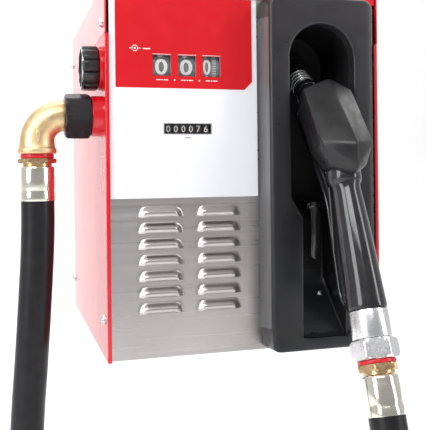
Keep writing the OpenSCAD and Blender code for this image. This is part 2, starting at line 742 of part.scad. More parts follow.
// Moulded cover over the head: two flat faces that meet in a ridge
module nozzle_cover() color("DimGray") difference() {
  hull() {
    for (p = [[0, -427, 100], [-29, -412, 90], [29, -412, 90], [0, -479, 40], [-29, -457, 28],
      [29, -457, 28], [-24, -392, 72], [24, -392, 72], [-24, -428, 26], [24, -428, 26]])
      translate([boot_x + p[0], p[1], p[2]]) sphere(r = 4.5, $fn = 24);
  }
  on_spout() translate([0, 0, -100]) cylinder(r = 23.3, h = 140);
  on_spout() translate([0, 0, -72]) sphere(r = 24.9);
  translate(knuckle) sphere(r = 26.3);
  translate([boot_x - 13, -420, 20]) cube([26, 60, 45]);
}
// A flat strip that follows points in the plane of the nozzle: w wide, t thick
function strip_side(points, side) = [for (i = [0 : len(points) - 1])
  let (a = points[max(i - 1, 0)],
    b = points[min(i + 1, len(points) - 1)],
    d = (b - a) / norm(b - a))
  points[i] + side * [-d[1], d[0]]];
function reversed(list) = [for (i = [len(list) - 1 : -1 : 0]) list[i]];
module strip(points, w, t) {
  translate([boot_x - w / 2, 0, 0]) rotate([90, 0, 90]) linear_extrude(w)
    polygon(concat(strip_side(points, t / 2), reversed(strip_side(points, -t / 2))));
}
guard_points = [[-359.3, 80.6], [-350, 77], [-342, 69], [-349, 58], [-369, 35], [-392, 8], [-410, -14],
  [-425, -37], [-434, -60], [-440, -82], [-450, -114], [-459, -141], [-466, -149], [-478, -151],
  [-494.4, -151]];
module trigger_guard() color("Black") {
  strip(guard_points, 9, 5);
  difference() {
    on_spout() translate([0, 0, 28]) cylinder(r = 16, h = 9);
    on_spout() translate([0, 0, 27]) cylinder(r = spout_d / 2 + 0.1, h = 11);
  }
}
trigger_points = [[-388, 50], [-406, 29], [-424, 8], [-434, -12], [-440, -30], [-445, -62],
  [-449, -92]];
module trigger() color("Black") difference() {
  union() {
    strip(trigger_points, 14, 5);
    cyl_x(boot_x - 7, boot_x + 7, pivot[1], pivot[2], 5.2);
  }
  cyl_x(boot_x - 8, boot_x + 8, pivot[1], pivot[2], 2.5 + fit);
}
module spout() color("Silver") difference() {
  on_spout() translate([0, 0, -29]) cylinder(r = spout_d / 2, h = spout_len + 29);
  on_spout() translate([0, 0, -30]) cylinder(r = spout_d / 2 - 2, h = spout_len + 32);
  on_spout() translate([0, 0, spout_len]) rotate([30, 0, 0]) translate([-20, -30, 0])
    cube([40, 60, 30]);
}
// Rings that keep the spout in a tank's neck
module spout_spring() color("Gray") {
  for (i = [0 : 4])
    on_spout() translate([0, 0, 41 + 6 * i]) rotate_extrude() translate([spout_d / 2 + 1.7, 0])
      circle(r = 1.5, $fn = 24);
}

// ---- swivel at the nozzle's end ----

module swivel_collar() color("Gainsboro") difference() {
  on_handle() translate([0, 0, -29]) cylinder(r = 20, h = 28.9);
  on_handle() translate([0, 0, -30]) cylinder(r = 10 + fit, h = 31);
}
module swivel_hex() color("Silver") difference() {
  on_handle() union() {
    translate([0, 0, -49.5]) intersection() {
      cylinder(r = 25.2, h = 20, $fn = 6);
      cylinder(r = 24.4, h = 20);
    }
    translate([0, 0, -30]) cylinder(r = 10, h = 60);
  }
  on_handle() translate([0, 0, -50]) cylinder(r = 7, h = 81);
  on_handle() translate([0, 0, -50]) cylinder(r = 14, h = 9);
}
module swivel_ring() color("Red") difference() {
  on_handle() translate([0, 0, -54]) cylinder(r = 19.5, h = 4.4);
  on_handle() translate([0, 0, -55]) cylinder(r = 13.9, h = 7);
}
module hose_tail_nozzle() color("Goldenrod") {
  on_handle() translate([0, 0, -61]) hose_tail(6.9, 3.5, 8);
}
module ferrule_nozzle() color("Gainsboro") {
  on_handle() translate([0, 0, -64.6]) ferrule(38);
}

// ---- delivery hose ----

coil_x = 2;
coil_y = -348;
layer = hose_d + 0.5;
// Points down the hose from the outlet ferrule to the coil
drop_points = [[-243, -348, -32.7], [-243, -348, -60], [-244.5, -348, -100], [-247.5, -348, -150],
  [-251.5, -348, -210], [-256, -348, -270], [-259.5, -349, -340], [-261.5, -350, -410],
  [-262, -350, -470], [-260, -352.5, -520], [-251, -364, -570], [-233, -387, -617],
  [-206, -422, -651], [-185, -449, -666], [-164, -477, -671.2]];
// Points from the top of the coil up to the nozzle's ferrule
rise_points = [[-71, -545, -593], [-48, -553.5, -588], [-12, -567, -568], [22, -579.5, -536],
  [50, -590, -493], [69, -597, -442], [77.5, -600, -390], [79.2, -595, -340],
  [79.4, -581, -300], [79.4, -565, -269], [79.4, -558.8, -265.4], [79.4, -550.6, -243.5]];
ring_sides = 12;
function ring_points(points, i, r) =
  let (a = points[max(i - 1, 0)],
    b = points[min(i + 1, len(points) - 1)],
    t = (b - a) / norm(b - a),
    u = cross(t, [0.3, 1, 0.1]),
    n = u / norm(u),
    m = cross(t, n))
  [for (k = [0 : ring_sides - 1])
    points[i] + r * (cos(360 * k / ring_sides) * n + sin(360 * k / ring_sides) * m)];
// One closed tube swept along a list of points
module hose_tube(points) {
  n = len(points);
  rings = [for (i = [0 : n - 1]) each ring_points(points, i, hose_d / 2)];
  walls = [for (i = [0 : n - 2]) for (k = [0 : ring_sides - 1])
    [i * ring_sides + k, (i + 1) * ring_sides + k,
      (i + 1) * ring_sides + (k + 1) % ring_sides, i * ring_sides + (k + 1) % ring_sides]];
  first = [for (k = [0 : ring_sides - 1]) k];
  last = [for (k = [0 : ring_sides - 1]) n * ring_sides - 1 - k];
  polyhedron(points = rings, faces = concat(walls, [first, last]));
}
module hose_drop() color("Black") hose_tube(drop_points);
module hose_rise() color("Black") hose_tube(rise_points);
module hose_coil() color("Black") translate([coil_x, coil_y, coil_floor])
  rotate_extrude($fn = 96) translate([coil_r, 0]) union() {
    translate([-hose_d / 2, hose_d / 2]) square([hose_d, layer * (coil_layers - 1)]);
    for (z = [hose_d / 2, hose_d / 2 + layer * (coil_layers - 1)])
      translate([0, z]) circle(r = hose_d / 2);
  }

back_plate();
base_tray();
side_panel_left();
side_panel_right();
hood();
front_plate();
face_panel();
red_label();
window_lenses();
case_screws();
boot_housing();
switch_lever();
switch_box();
knob();
side_bosses();
counter_frame();
litre_wheel_1();
litre_wheel_2();
litre_wheel_3();
total_wheel_1();
total_wheel_2();
total_wheel_3();
total_wheel_4();
total_wheel_5();
total_wheel_6();
meter_body();
meter_rotor();
outlet_pipe();
union_nut();
outlet_elbow();
elbow_seal();
hose_tail_outlet();
ferrule_outlet();
delivery_pipe();
pump_body();
pump_cover();
pump_rotor();
pump_vanes();
pump_caps();
bypass_poppet();
motor_frame();
stator();
motor_shaft();
motor_fan();
fan_cowl();
cable_gland();
nozzle_body();
nozzle_cover();
trigger_guard();
trigger();
spout();
spout_spring();
swivel_collar();
swivel_hex();
swivel_ring();
hose_tail_nozzle();
ferrule_nozzle();
hose_drop();
hose_coil();
hose_rise();
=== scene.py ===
import math

import bmesh
import bpy
from mathutils import Matrix, Vector


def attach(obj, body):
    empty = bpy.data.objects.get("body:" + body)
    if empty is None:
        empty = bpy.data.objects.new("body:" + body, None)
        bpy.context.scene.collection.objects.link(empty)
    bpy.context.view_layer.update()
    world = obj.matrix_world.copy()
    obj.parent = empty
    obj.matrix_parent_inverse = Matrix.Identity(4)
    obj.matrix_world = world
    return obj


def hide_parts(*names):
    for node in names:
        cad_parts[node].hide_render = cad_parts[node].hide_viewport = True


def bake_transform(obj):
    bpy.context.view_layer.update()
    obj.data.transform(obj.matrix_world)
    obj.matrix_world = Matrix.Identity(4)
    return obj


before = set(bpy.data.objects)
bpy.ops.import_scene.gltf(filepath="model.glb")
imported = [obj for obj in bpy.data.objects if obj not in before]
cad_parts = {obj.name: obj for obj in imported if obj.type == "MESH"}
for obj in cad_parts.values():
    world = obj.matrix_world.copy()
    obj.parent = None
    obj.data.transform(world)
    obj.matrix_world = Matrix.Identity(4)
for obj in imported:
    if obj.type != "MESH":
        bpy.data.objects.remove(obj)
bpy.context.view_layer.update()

# ---- Camera ----
# A level camera in front and to the left of the cabinet, at the height of its
# middle, about 1.2 m away. It is turned a hair, as a hand-held one is.
camera_data = bpy.data.cameras.new("camera")
camera_data.lens = 59.73
camera_data.sensor_width = 36
camera_data.shift_y = -0.103
camera_data.clip_start = 0.01
camera = bpy.data.objects.new("camera", camera_data)
camera.matrix_world = (Matrix.Translation((-0.280108, -1.176549, -0.000828))
                       @ Matrix.Rotation(math.radians(-16.43), 4, "Z")
                       @ Matrix.Rotation(math.radians(90), 4, "X")
                       @ Matrix.Rotation(math.radians(-0.627), 4, "Z"))
bpy.context.scene.collection.objects.link(camera)
bpy.context.scene.camera = camera


# ---- Delivery hose and its tie ----
# Smooth black 1 inch fuel hose, 37 mm outside. It hangs from the outlet, is
# stored as a coil on the ground, and rises to the nozzle. A webbing strap with a
# buckle ties the coil.
class Wire:
    """One output of a finish's nodes, so that a pattern can be written as a sum."""

    def __init__(self, finish, socket):
        self.finish = finish
        self.socket = socket

    def sum(self, operation, a, b):
        return self.finish.node("ShaderNodeMath", {"operation": operation}, {0: a, 1: b})

    def __add__(self, other):
        return self.sum("ADD", self, other)

    __radd__ = __add__

    def __sub__(self, other):
        return self.sum("SUBTRACT", self, other)

    def __mul__(self, other):
        return self.sum("MULTIPLY", self, other)

    __rmul__ = __mul__


class Finish:
    """A material on its own node tree, with a Principled shader at its end."""

    def __init__(self, name, colour, roughness, metallic=0.0, **fixed):
        self.material = bpy.data.materials.new(name)
        self.material.use_nodes = True
        self.material.diffuse_color = (*colour, 1)
        self.tree = self.material.node_tree
        self.tree.nodes.clear()
        self.shader = self.tree.nodes.new("ShaderNodeBsdfPrincipled")
        end = self.tree.nodes.new("ShaderNodeOutputMaterial")
        self.tree.links.new(self.shader.outputs[0], end.inputs[0])
        self.put("Base Color", (*colour, 1))
        self.put("Roughness", roughness)
        self.put("Metallic", metallic)
        for socket, value in fixed.items():
            self.put(socket.replace("_", " "), value)

    def put(self, socket, value):
        into = self.shader.inputs[socket]
        if isinstance(value, Wire):
            self.tree.links.new(value.socket, into)
        else:
            into.default_value = value

    def node(self, kind, settings=None, inputs=None, output=0):
        made = self.tree.nodes.new(kind)
        for key, value in (settings or {}).items():
            if key == "stops":
                ramp = made.color_ramp.elements
                while len(ramp) < len(value):
                    ramp.new(0.5)
                for element, (place, colour) in zip(ramp, value):
                    element.position = place
                    element.color = colour
            else:
                setattr(made, key, value)
        for key, value in (inputs or {}).items():
            if isinstance(value, Wire):
                self.tree.links.new(value.socket, made.inputs[key])
            else:
                made.inputs[key].default_value = value
        return Wire(self, made.outputs[output])

    def place(self, scale=(1, 1, 1)):
        where = self.node("ShaderNodeTexCoord", output="Object")
        return self.node("ShaderNodeMapping", {}, {"Vector": where, "Scale": scale})

    def noise(self, size_mm, detail=3.0, stretch=(1, 1, 1)):
        scale = [1000 * s / size_mm for s in stretch]
        return self.node("ShaderNodeTexNoise", {},
                         {"Vector": self.place(scale), "Scale": 1.0, "Detail": detail})

    def ramp(self, factor, *stops):
        return self.node("ShaderNodeValToRGB",
                         {"stops": [(p, (c, c, c, 1) if isinstance(c, float) else (*c, 1)) for p, c in stops]},
                         {0: factor})

    def bump(self, height, depth_mm, strength=1.0):
        self.put("Normal", self.node("ShaderNodeBump", {},
                                     {"Height": height, "Distance": depth_mm / 1000, "Strength": strength}))


    def grained(self, size_mm, detail, depth_mm, strength=1.0, stretch=(1, 1, 1)):
        """A fine relief of one size."""
        self.bump(self.noise(size_mm, detail, stretch), depth_mm, strength)

    def mottled(self, size_mm, detail, dark, light, start=0.3, end=0.7, stretch=(1, 1, 1)):
        """The colour drifts between two shades."""
        self.put("Base Color", self.ramp(self.noise(size_mm, detail, stretch), (start, dark), (end, light)))

    def worn(self, least, spread, size_mm, detail, start=0.3, end=0.7, stretch=(1, 1, 1)):
        """The gloss varies in patches."""
        self.put("Roughness", least + spread * self.ramp(self.noise(size_mm, detail, stretch), (start, 0.0), (end,
                1.0)))


def skin(rings, joined=True, ends=(True, True)):
    """Vertices and faces over a row of rings of equal count; ends are closed by flat faces."""
    count = len(rings[0])
    points = [p for ring in rings for p in ring]
    last = count if joined else count - 1
    faces = [(i * count + k, i * count + (k + 1) % count,
              (i + 1) * count + (k + 1) % count, (i + 1) * count + k)
             for i in range(len(rings) - 1) for k in range(last)]
    if ends[0]:
        faces.append(tuple(reversed(range(count))))
    if ends[1]:
        faces.append(tuple((len(rings) - 1) * count + k for k in range(count)))
    return points, faces


def piece(name, shape, finish, body="cabinet", nodes=(), sharp=32, outward=True):
    """One finished mesh, given in millimetres, riding on its body."""
    points, faces = shape
    mesh = bpy.data.meshes.new(name)
    mesh.from_pydata([Vector(p) * 0.001 for p in points], [], faces)
    if outward:
        work = bmesh.new()
        work.from_mesh(mesh)
        bmesh.ops.remove_doubles(work, verts=work.verts, dist=1e-6)
        bmesh.ops.recalc_face_normals(work, faces=work.faces)
        work.to_mesh(mesh)
        work.free()
    thing = bpy.data.objects.new(name, mesh)
    bpy.context.scene.collection.objects.link(thing)
    return dress(thing, finish, body, nodes, sharp)


def dress(thing, finish, body="cabinet", nodes=(), sharp=32):
    mesh = thing.data
    mesh.materials.clear()
    mesh.materials.append(finish.material)
    mesh.shade_smooth()
    mesh.set_sharp_from_angle(angle=math.radians(sharp))
    if body:
        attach(thing, body)
    if nodes:
        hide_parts(*nodes)
    return thing


def together(*shapes):
    """Several shapes as one list of points and faces."""
    points, faces = [], []
    for more_points, more_faces in shapes:
        base = len(points)
        points += list(more_points)
        faces += [tuple(base + i for i in face) for face in more_faces]
    return points, faces


def smooth_line(knots, step):
    """Points about a step apart on the curve that passes through the knots."""
    knots = [Vector(k) for k in knots]
    line = []
    for i in range(len(knots) - 1):
        a, b = knots[i], knots[i + 1]
        before = knots[i - 1] if i else a - (b - a)
        after = knots[i + 2] if i + 2 < len(knots) else b + (b - a)
        span = (b - a).length
        slope_a = (b - before).normalized() * span
        slope_b = (after - a).normalized() * span
        parts = max(2, round(span / step))
        for k in range(parts):
            t = k / parts
            line.append((2 * t ** 3 - 3 * t ** 2 + 1) * a + (t ** 3 - 2 * t ** 2 + t) * slope_a
                        + (3 * t ** 2 - 2 * t ** 3) * b + (t ** 3 - t ** 2) * slope_b)
    return line + [knots[-1]]


def tube_rings(line, radius, sides=28):
    """Rings square to a line, carried along it without twisting."""
    tangents = [(line[min(i + 1, len(line) - 1)] - line[max(i - 1, 0)]).normalized()
                for i in range(len(line))]
    side = tangents[0].orthogonal().normalized()
    rings = []
    for i, (point, along) in enumerate(zip(line, tangents)):
        side = (side - side.dot(along) * along).normalized()
        up = along.cross(side)
        r = radius(i / (len(line) - 1)) if callable(radius) else radius
        rings.append([point + r * (math.cos(2 * math.pi * k / sides) * side
                                   + math.sin(2 * math.pi * k / sides) * up) for k in range(sides)])
    return rings


hose_diameter = 37
outlet_x, outlet_y, outlet_z = -243, -348, 63.5
coil_centre = (2, -348)
drop_points = [(-243, -348, -32.7), (-243, -348, -60), (-244.5, -348, -100), (-247.5, -348, -150),
               (-251.5, -348, -210), (-256, -348, -270), (-259.5, -349, -340), (-261.5, -350, -410),
               (-262, -350, -470), (-260, -352.5, -520), (-251, -364, -570), (-233, -387, -617),
               (-206, -422, -651), (-185, -449, -666)]
rise_points = [(-71, -545, -593), (-48, -553.5, -588), (-12, -567, -568), (22, -579.5, -536),
               (50, -590, -493), (69, -597, -442), (77.5, -600, -390), (79.2, -595, -340),
               (79.4, -581, -300), (79.4, -565, -269), (79.4, -558.8, -265.4), (79.4, -550.6, -243.5)]
coil_start, coil_turn = 217.7, 752.0
coil_points = []
for step in range(1, 60):
    share = step / 60
    angle = math.radians(coil_start + coil_turn * share)
    radius = 210 + 3.0 * math.sin(2 * math.pi * share)
    coil_points.append((coil_centre[0] + radius * math.cos(angle),
                        coil_centre[1] + radius * math.sin(angle), -671.3 + 77.9 * share))
coil_points.insert(0, (-164, -476.4, -671.3))
hose_line = smooth_line(drop_points + coil_points + rise_points, 9)
hose_length = sum((b - a).length for a, b in zip(hose_line, hose_line[1:]))

rubber = Finish("hose_rubber", (0.012, 0.011, 0.013), 0.36, Specular_IOR_Level=0.3)
scuffs = rubber.noise(24, 5)
rubber.put("Roughness", 0.3 + 0.14 * rubber.ramp(scuffs, (0.35, 0.0), (0.7, 1.0)))
rubber.mottled(9, 6, (0.008, 0.007, 0.009), (0.015, 0.014, 0.016), 0.3, 0.75)
rubber.bump(rubber.noise(1.6, 2) + 0.5 * rubber.noise(30, 2, (1, 1, 0.3)), 0.05, 0.5)
hose = piece("delivery_hose", skin(tube_rings(hose_line, hose_diameter / 2)), rubber, body=None,
             nodes=("hose_drop", "hose_coil", "hose_rise"))
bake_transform(hose)

webbing = Finish("tie_webbing", (0.06, 0.06, 0.065), 0.8)
weave = webbing.node("ShaderNodeTexWave", {"wave_type": "BANDS", "bands_direction": "DIAGONAL"},
                     {"Vector": webbing.place((900, 900, 900)), "Scale": 1.0, "Distortion": 1.0})
webbing.bump(weave, 0.3, 0.7)
webbing.put("Base Color", webbing.ramp(weave, (0.2, (0.03, 0.03, 0.034)), (0.9, (0.09, 0.09, 0.096))))
tie_angle = math.radians(300)
tie_out = Vector((math.cos(tie_angle), math.sin(tie_angle), 0))
tie_along = Vector((-math.sin(tie_angle), math.cos(tie_angle), 0))
tie_middle = Vector((*coil_centre, -633.2)) + tie_out * 210


def tie_loop(gap, half_width, thick):
    """The strap's closed loop round the three turns, as rings of a flat section."""
    rings = []
    tall, wide = 38.5 + hose_diameter / 2 + gap, hose_diameter / 2 + gap + 3.4
    for k in range(48):
        turn = 2 * math.pi * k / 48
        c, s = math.cos(turn), math.sin(turn)
        reach_out = math.copysign(abs(c) ** 0.55, c) * wide
        reach_up = math.copysign(abs(s) ** 0.8, s) * tall
        outward = Vector((c * tall, s * wide)).normalized()
        ring = []
        for side, lift in ((-1, 0), (1, 0), (1, 1), (-1, 1)):
            ring.append(tie_middle + tie_out * (reach_out + outward.x * thick * lift)
                        + Vector((0, 0, reach_up + outward.y * thick * lift)) + tie_along * half_width * side)
        rings.append(ring)
    return skin(rings + [rings[0]], ends=(False, False))


tie = piece("hose_tie", tie_loop(0.4, 11, 1.3), webbing, sharp=50)


def brick(low, high):
    (x0, y0, z0), (x1, y1, z1) = low, high
    return skin([[(x0, y0, z), (x1, y0, z), (x1, y1, z), (x0, y1, z)] for z in (z0, z1)])


def placed(shape, matrix):
    return [matrix @ Vector(p) for p in shape[0]], shape[1]


def rounded_edges(thing, width_mm, segments=2, angle=35):
    """Softens a piece's edges, as tumbling or paint does."""
    soft = thing.modifiers.new("rounded", "BEVEL")
    soft.width = width_mm / 1000
    soft.segments = segments
    soft.limit_method = "ANGLE"
    soft.angle_limit = math.radians(angle)
    return thing


buckle_plastic = Finish("tie_buckle_plastic", (0.03, 0.03, 0.032), 0.45)
buckle_plastic.grained(0.8, 2, 0.05)
tie_frame = Matrix((( tie_along.x, tie_out.x, 0, tie_middle.x), (tie_along.y, tie_out.y, 0, tie_middle.y),
                    (0, 0, 1, tie_middle.z), (0, 0, 0, 1)))
buckle = piece("tie_buckle",
               placed(together(brick((-14, 23.8, -12), (14, 28.5, -7)), brick((-14, 23.8, 7), (14, 28.5, 12)),
                                             brick((-14, 23.8, -12), (-11.6, 28.5, 12)), brick((11.6, 23.8, -12),
                                                     (14, 28.5, 12)),
                                             brick((-11, 23.9, -6), (11, 27, 6))), tie_frame), buckle_plastic, sharp=30)
rounded_edges(buckle, 0.6)
round(hose_length / 1000, 3)
[p / 1000 for p in hose_line]


# ---- Studio ----
# Pale paper swept up behind the pump, five soft lights, and a room that is
# dimmer in front. None of it is part of the pump.
paper = Finish("studio_paper", (0.93, 0.93, 0.94), 0.85)
paper.mottled(260, 4, (0.925, 0.925, 0.935), (0.945, 0.945, 0.95), 0.2, 0.8)
paper.grained(3, 3, 0.1, 0.3)
sweep = [(-4200, -690.5), (1500, -690.5)]
sweep += [(1500 + 900 * math.sin(a), 209.5 - 900 * math.cos(a)) for a in [math.pi / 2 * k / 16 for k in range(1, 17)]]
sweep += [(2400, 3600)]
backdrop = piece("studio_backdrop", skin([[(-4500, y, z) for y, z in sweep], [(4500, y, z) for y, z in sweep]],
                                         joined=False, ends=(False, False)), paper, body=None, outward=False)


def soft_light(name, at, toward, width, height, power):
    data = bpy.data.lights.new(name, "AREA")
    data.shape = "RECTANGLE"
    data.size, data.size_y = width, height
    data.energy = power
    lamp = bpy.data.objects.new(name, data)
    bpy.context.scene.collection.objects.link(lamp)
    lamp.location = at
    lamp.rotation_euler = (Vector(toward) - Vector(at)).to_track_quat("-Z", "Y").to_euler()


soft_light("left_softbox", (-2.3, -1.5, 0.9), (0, -0.3, -0.1), 1.0, 2.2, 34)
soft_light("right_softbox", (1.7, -1.7, 0.7), (0, -0.4, -0.1), 0.45, 2.2, 16)
soft_light("front_softbox", (-0.9, -2.3, 2.0), (0, -0.3, 0), 1.8, 1.0, 34)
soft_light("rim_softbox", (1.9, 0.7, 1.6), (0, -0.4, 0), 1.2, 1.2, 9)
soft_light("backdrop_softbox", (0, 0.5, 2.6), (0, 2.3, 0.2), 3.5, 0.8, 62)
world = bpy.data.worlds.new("studio_room")
bpy.context.scene.world = world
world.use_nodes = True
sky = world.node_tree.nodes
sky.clear()
room = sky.new("ShaderNodeBackground")
room.inputs["Color"].default_value = (1, 1, 1, 1)
facing = sky.new("ShaderNodeSeparateXYZ")
dimmer = sky.new("ShaderNodeMapRange")
dimmer.inputs["From Min"].default_value, dimmer.inputs["From Max"].default_value = -0.9, 0.2
dimmer.inputs["To Min"].default_value, dimmer.inputs["To Max"].default_value = 0.34, 0.6
for start, end in ((sky.new("ShaderNodeTexCoord").outputs["Generated"], facing.inputs[0]), (facing.outputs["Y"],
        dimmer.inputs["Value"]),
                   (dimmer.outputs[0], room.inputs["Strength"])):
    world.node_tree.links.new(start, end)
world.node_tree.links.new(room.outputs[0], sky.new("ShaderNodeOutputWorld").inputs[0])
bpy.context.scene.view_settings.view_transform = "Standard"


# ---- Back plate and base tray ----
# Two pieces of galvanized steel sheet. The wall bolts go through the back; the
# base carries the motor, the pump and the cable gland, and its sides are bent up.
galvanized = Finish("galvanized_sheet", (0.5, 0.51, 0.53), 0.42, 1.0)
spangle = galvanized.node("ShaderNodeTexVoronoi", {"feature": "F1"},
                          {"Vector": galvanized.place((110, 110, 110)), "Scale": 1.0}, output="Color")
galvanized.put("Base Color", galvanized.ramp(spangle, (0.25, (0.43, 0.44, 0.46)), (0.75, (0.52, 0.53, 0.55))))
galvanized.worn(0.3, 0.25, 15, 4)


def carry_over(name, finish, slot):
    """A CAD node that stays as it is and gets its real finish."""
    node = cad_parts[name]
    node.data.materials.clear()
    node.data.materials.append(finish.material)


for name in ("back_plate", "base_tray"):
    carry_over(name, galvanized, "dark_steel")

# ---- Side panels ----
# Mild steel sheet, 2 mm, sprayed red and baked. The front edge is folded in to a
# narrow lip that the front plate stands behind.
red_paint = Finish("red_gloss_paint", (0.66, 0.006, 0.016), 0.24, Specular_IOR_Level=0.4, Coat_Weight=0.5,
                   Coat_Roughness=0.07, Coat_IOR=1.6)
red_paint.mottled(60, 4, (0.58, 0.004, 0.012), (0.70, 0.007, 0.020), 0.25, 0.75)
red_paint.worn(0.2, 0.06, 30, 5, 0.35, 0.75)
red_paint.bump(red_paint.noise(2.4, 2) + 0.5 * red_paint.noise(14, 2), 0.0015, 0.3)


def rounded_path(corners, radii, steps=5):
    """A 2-D path whose inner corners are arcs."""
    path = [Vector(corners[0])]
    for before, corner, after, radius in zip(corners, corners[1:], corners[2:], radii):
        corner = Vector(corner)
        a, b = (Vector(before) - corner).normalized(), (Vector(after) - corner).normalized()
        half = a.angle(b) / 2
        cut = radius / math.tan(half)
        centre = corner + (a + b).normalized() * (radius / math.sin(half))
        start, end = corner + a * cut - centre, corner + b * cut - centre
        for k in range(steps + 1):
            t = k / steps
            path.append(centre + (start * math.sin((1 - t) * start.angle(end))
                                  + end * math.sin(t * start.angle(end))) / math.sin(start.angle(end)))
    return path + [Vector(corners[-1])]


def folded_sheet(path, thick, place):
    """Sheet of a given thickness, to the left of a 2-D path, between the two levels in place."""
    inner = []
    for i, p in enumerate(path):
        a, b = path[max(i - 1, 0)], path[min(i + 1, len(path) - 1)]
        along = (b - a).normalized()
        inner.append(p + Vector((-along.y, along.x)) * thick)
    rings = [[place(p, 0), place(p, 1), place(q, 1), place(q, 0)] for p, q in zip(path, inner)]
    return skin(rings)


for side, name in ((-1, "side_panel_left"), (1, "side_panel_right")):
    corners = [(170 * side, 0), (170 * side, -380), (165.6 * side, -380)]
    path = rounded_path(corners, [1.6])
    panel = piece(name + "_painted", folded_sheet(path, 2 * side * -1 if side > 0 else 2,
                  lambda p, top: (p.x, p.y,
                                  154.6 if top else -215)), red_paint, nodes=(name,), sharp=40)
    rounded_edges(panel, 0.35)

# ---- Hood ----
# One sheet bent over the top of the cabinet like a lid, with the same red paint.
# Its lower edge makes the seam that crosses the sides.
hood_path = rounded_path([(-170, 155), (-170, 215), (170, 215), (170, 155)], [3.2, 3.2])
hood = piece("hood_painted", together(
    folded_sheet(hood_path, -2, lambda p, back: (p.x, 0 if back else -380, p.y)),
    brick((-166, -380, 203), (166, -378, 213.5))), red_paint, nodes=("hood",), sharp=40)
rounded_edges(hood, 0.5)


# ---- Case screws ----
# Zinc-plated pan-head screws, M5, with a cross recess and a flat washer. They
# hold the side panels and the hood.
def repeat_tree():
    """Copies in rows and turns, joined to one mesh with one finish."""
    tree = bpy.data.node_groups.new("repeat_in_rows_and_turns", "GeometryNodeTree")
    face = tree.interface
    face.new_socket("Single", in_out="INPUT", socket_type="NodeSocketGeometry")
    for name, kind, value in (("Columns", "Int", 1), ("Column Step", "Vector", (0, 0, 0)), ("Rows", "Int", 1),
                              ("Row Step", "Vector", (0, 0, 0)), ("Turns", "Int", 1), ("Turn Angle", "Float", 0.0),
                              ("Turn Axis", "Vector", (1, 0, 0)), ("Turn Centre", "Vector", (0, 0, 0)),
                              ("Finish", "Material", None)):
        made = face.new_socket(name, in_out="INPUT", socket_type="NodeSocket" + kind)
        if value is not None:
            made.default_value = value
    face.new_socket("All", in_out="OUTPUT", socket_type="NodeSocketGeometry")
    nodes, link = tree.nodes, tree.links.new
    given = nodes.new("NodeGroupInput")
    moved_in = nodes.new("GeometryNodeTransform")
    opposite = nodes.new("ShaderNodeVectorMath")
    opposite.operation = "SCALE"
    opposite.inputs["Scale"].default_value = -1
    link(given.outputs["Turn Centre"], opposite.inputs[0])
    link(given.outputs["Single"], moved_in.inputs["Geometry"])
    link(opposite.outputs[0], moved_in.inputs["Translation"])
    turns = nodes.new("GeometryNodeMeshLine")
    turns.inputs["Offset"].default_value = (0, 0, 0)
    link(given.outputs["Turns"], turns.inputs["Count"])
    number = nodes.new("GeometryNodeInputIndex")
    angle = nodes.new("ShaderNodeMath")
    angle.operation = "MULTIPLY"
    link(number.outputs[0], angle.inputs[0])
    link(given.outputs["Turn Angle"], angle.inputs[1])
    rotation = nodes.new("FunctionNodeAxisAngleToRotation")
    link(given.outputs["Turn Axis"], rotation.inputs["Axis"])
    link(angle.outputs[0], rotation.inputs["Angle"])
    turned = nodes.new("GeometryNodeInstanceOnPoints")
    link(turns.outputs[0], turned.inputs["Points"])
    link(moved_in.outputs[0], turned.inputs["Instance"])
    link(rotation.outputs[0], turned.inputs["Rotation"])
    solid = nodes.new("GeometryNodeRealizeInstances")
    link(turned.outputs[0], solid.inputs[0])
    moved_out = nodes.new("GeometryNodeTransform")
    link(solid.outputs[0], moved_out.inputs["Geometry"])
    link(given.outputs["Turn Centre"], moved_out.inputs["Translation"])
    current = moved_out.outputs[0]
    for count, offset in (("Columns", "Column Step"), ("Rows", "Row Step")):
        line = nodes.new("GeometryNodeMeshLine")
        link(given.outputs[count], line.inputs["Count"])
        link(given.outputs[offset], line.inputs["Offset"])
        copies = nodes.new("GeometryNodeInstanceOnPoints")
        link(line.outputs[0], copies.inputs["Points"])
        link(current, copies.inputs["Instance"])
        current = copies.outputs[0]
    realize = nodes.new("GeometryNodeRealizeInstances")
    link(current, realize.inputs[0])
    painted = nodes.new("GeometryNodeSetMaterial")
    link(realize.outputs[0], painted.inputs["Geometry"])
    link(given.outputs["Finish"], painted.inputs["Material"])
    link(painted.outputs[0], nodes.new("NodeGroupOutput").inputs[0])
    return tree


rows_and_turns = repeat_tree()


def repeated(name, shape, finish, **inputs):
    """A mesh of copies of one shape; lengths are in millimetres."""
    single = piece(name, shape, finish, body=None)
    maker = single.modifiers.new("copies", "NODES")
    maker.node_group = rows_and_turns
    inputs["Finish"] = finish.material
    for item in rows_and_turns.interface.items_tree:
        key = item.name.replace(" ", "_")
        if item.in_out == "INPUT" and key in inputs:
            value = inputs[key]
            if item.socket_type == "NodeSocketVector" and key != "Turn_Axis":
                value = [v / 1000 for v in value]
            maker[item.identifier] = value
    mesh = bpy.data.meshes.new_from_object(single.evaluated_get(bpy.context.evaluated_depsgraph_get()))
    single.modifiers.clear()
    single.data = mesh
    mesh.name = name
    return single


def turned(profile, at=(0, 0, 0), axis=(0, 0, 1), sides=48, section=None, close=True):
    """A shape turned about an axis. The profile is pairs of radius and place along the axis;
    section changes the radius with the angle."""
    axis = Vector(axis).normalized()
    side = (Vector((0, 0, 1)) - axis * axis.z).normalized() if abs(axis.z) < 0.99 else Vector((1, 0, 0))
    up = axis.cross(side)
    rings = []
    for radius, along in profile:
        ring = []
        for k in range(sides):
            angle = 2 * math.pi * k / sides
            r = section(radius, along, angle) if section else radius
            ring.append(Vector(at) + axis * along + r * (math.cos(angle) * side + math.sin(angle) * up))
        rings.append(ring)
    if not close:
        rings.append(rings[0])
        return skin(rings, ends=(False, False))
    return skin(rings)


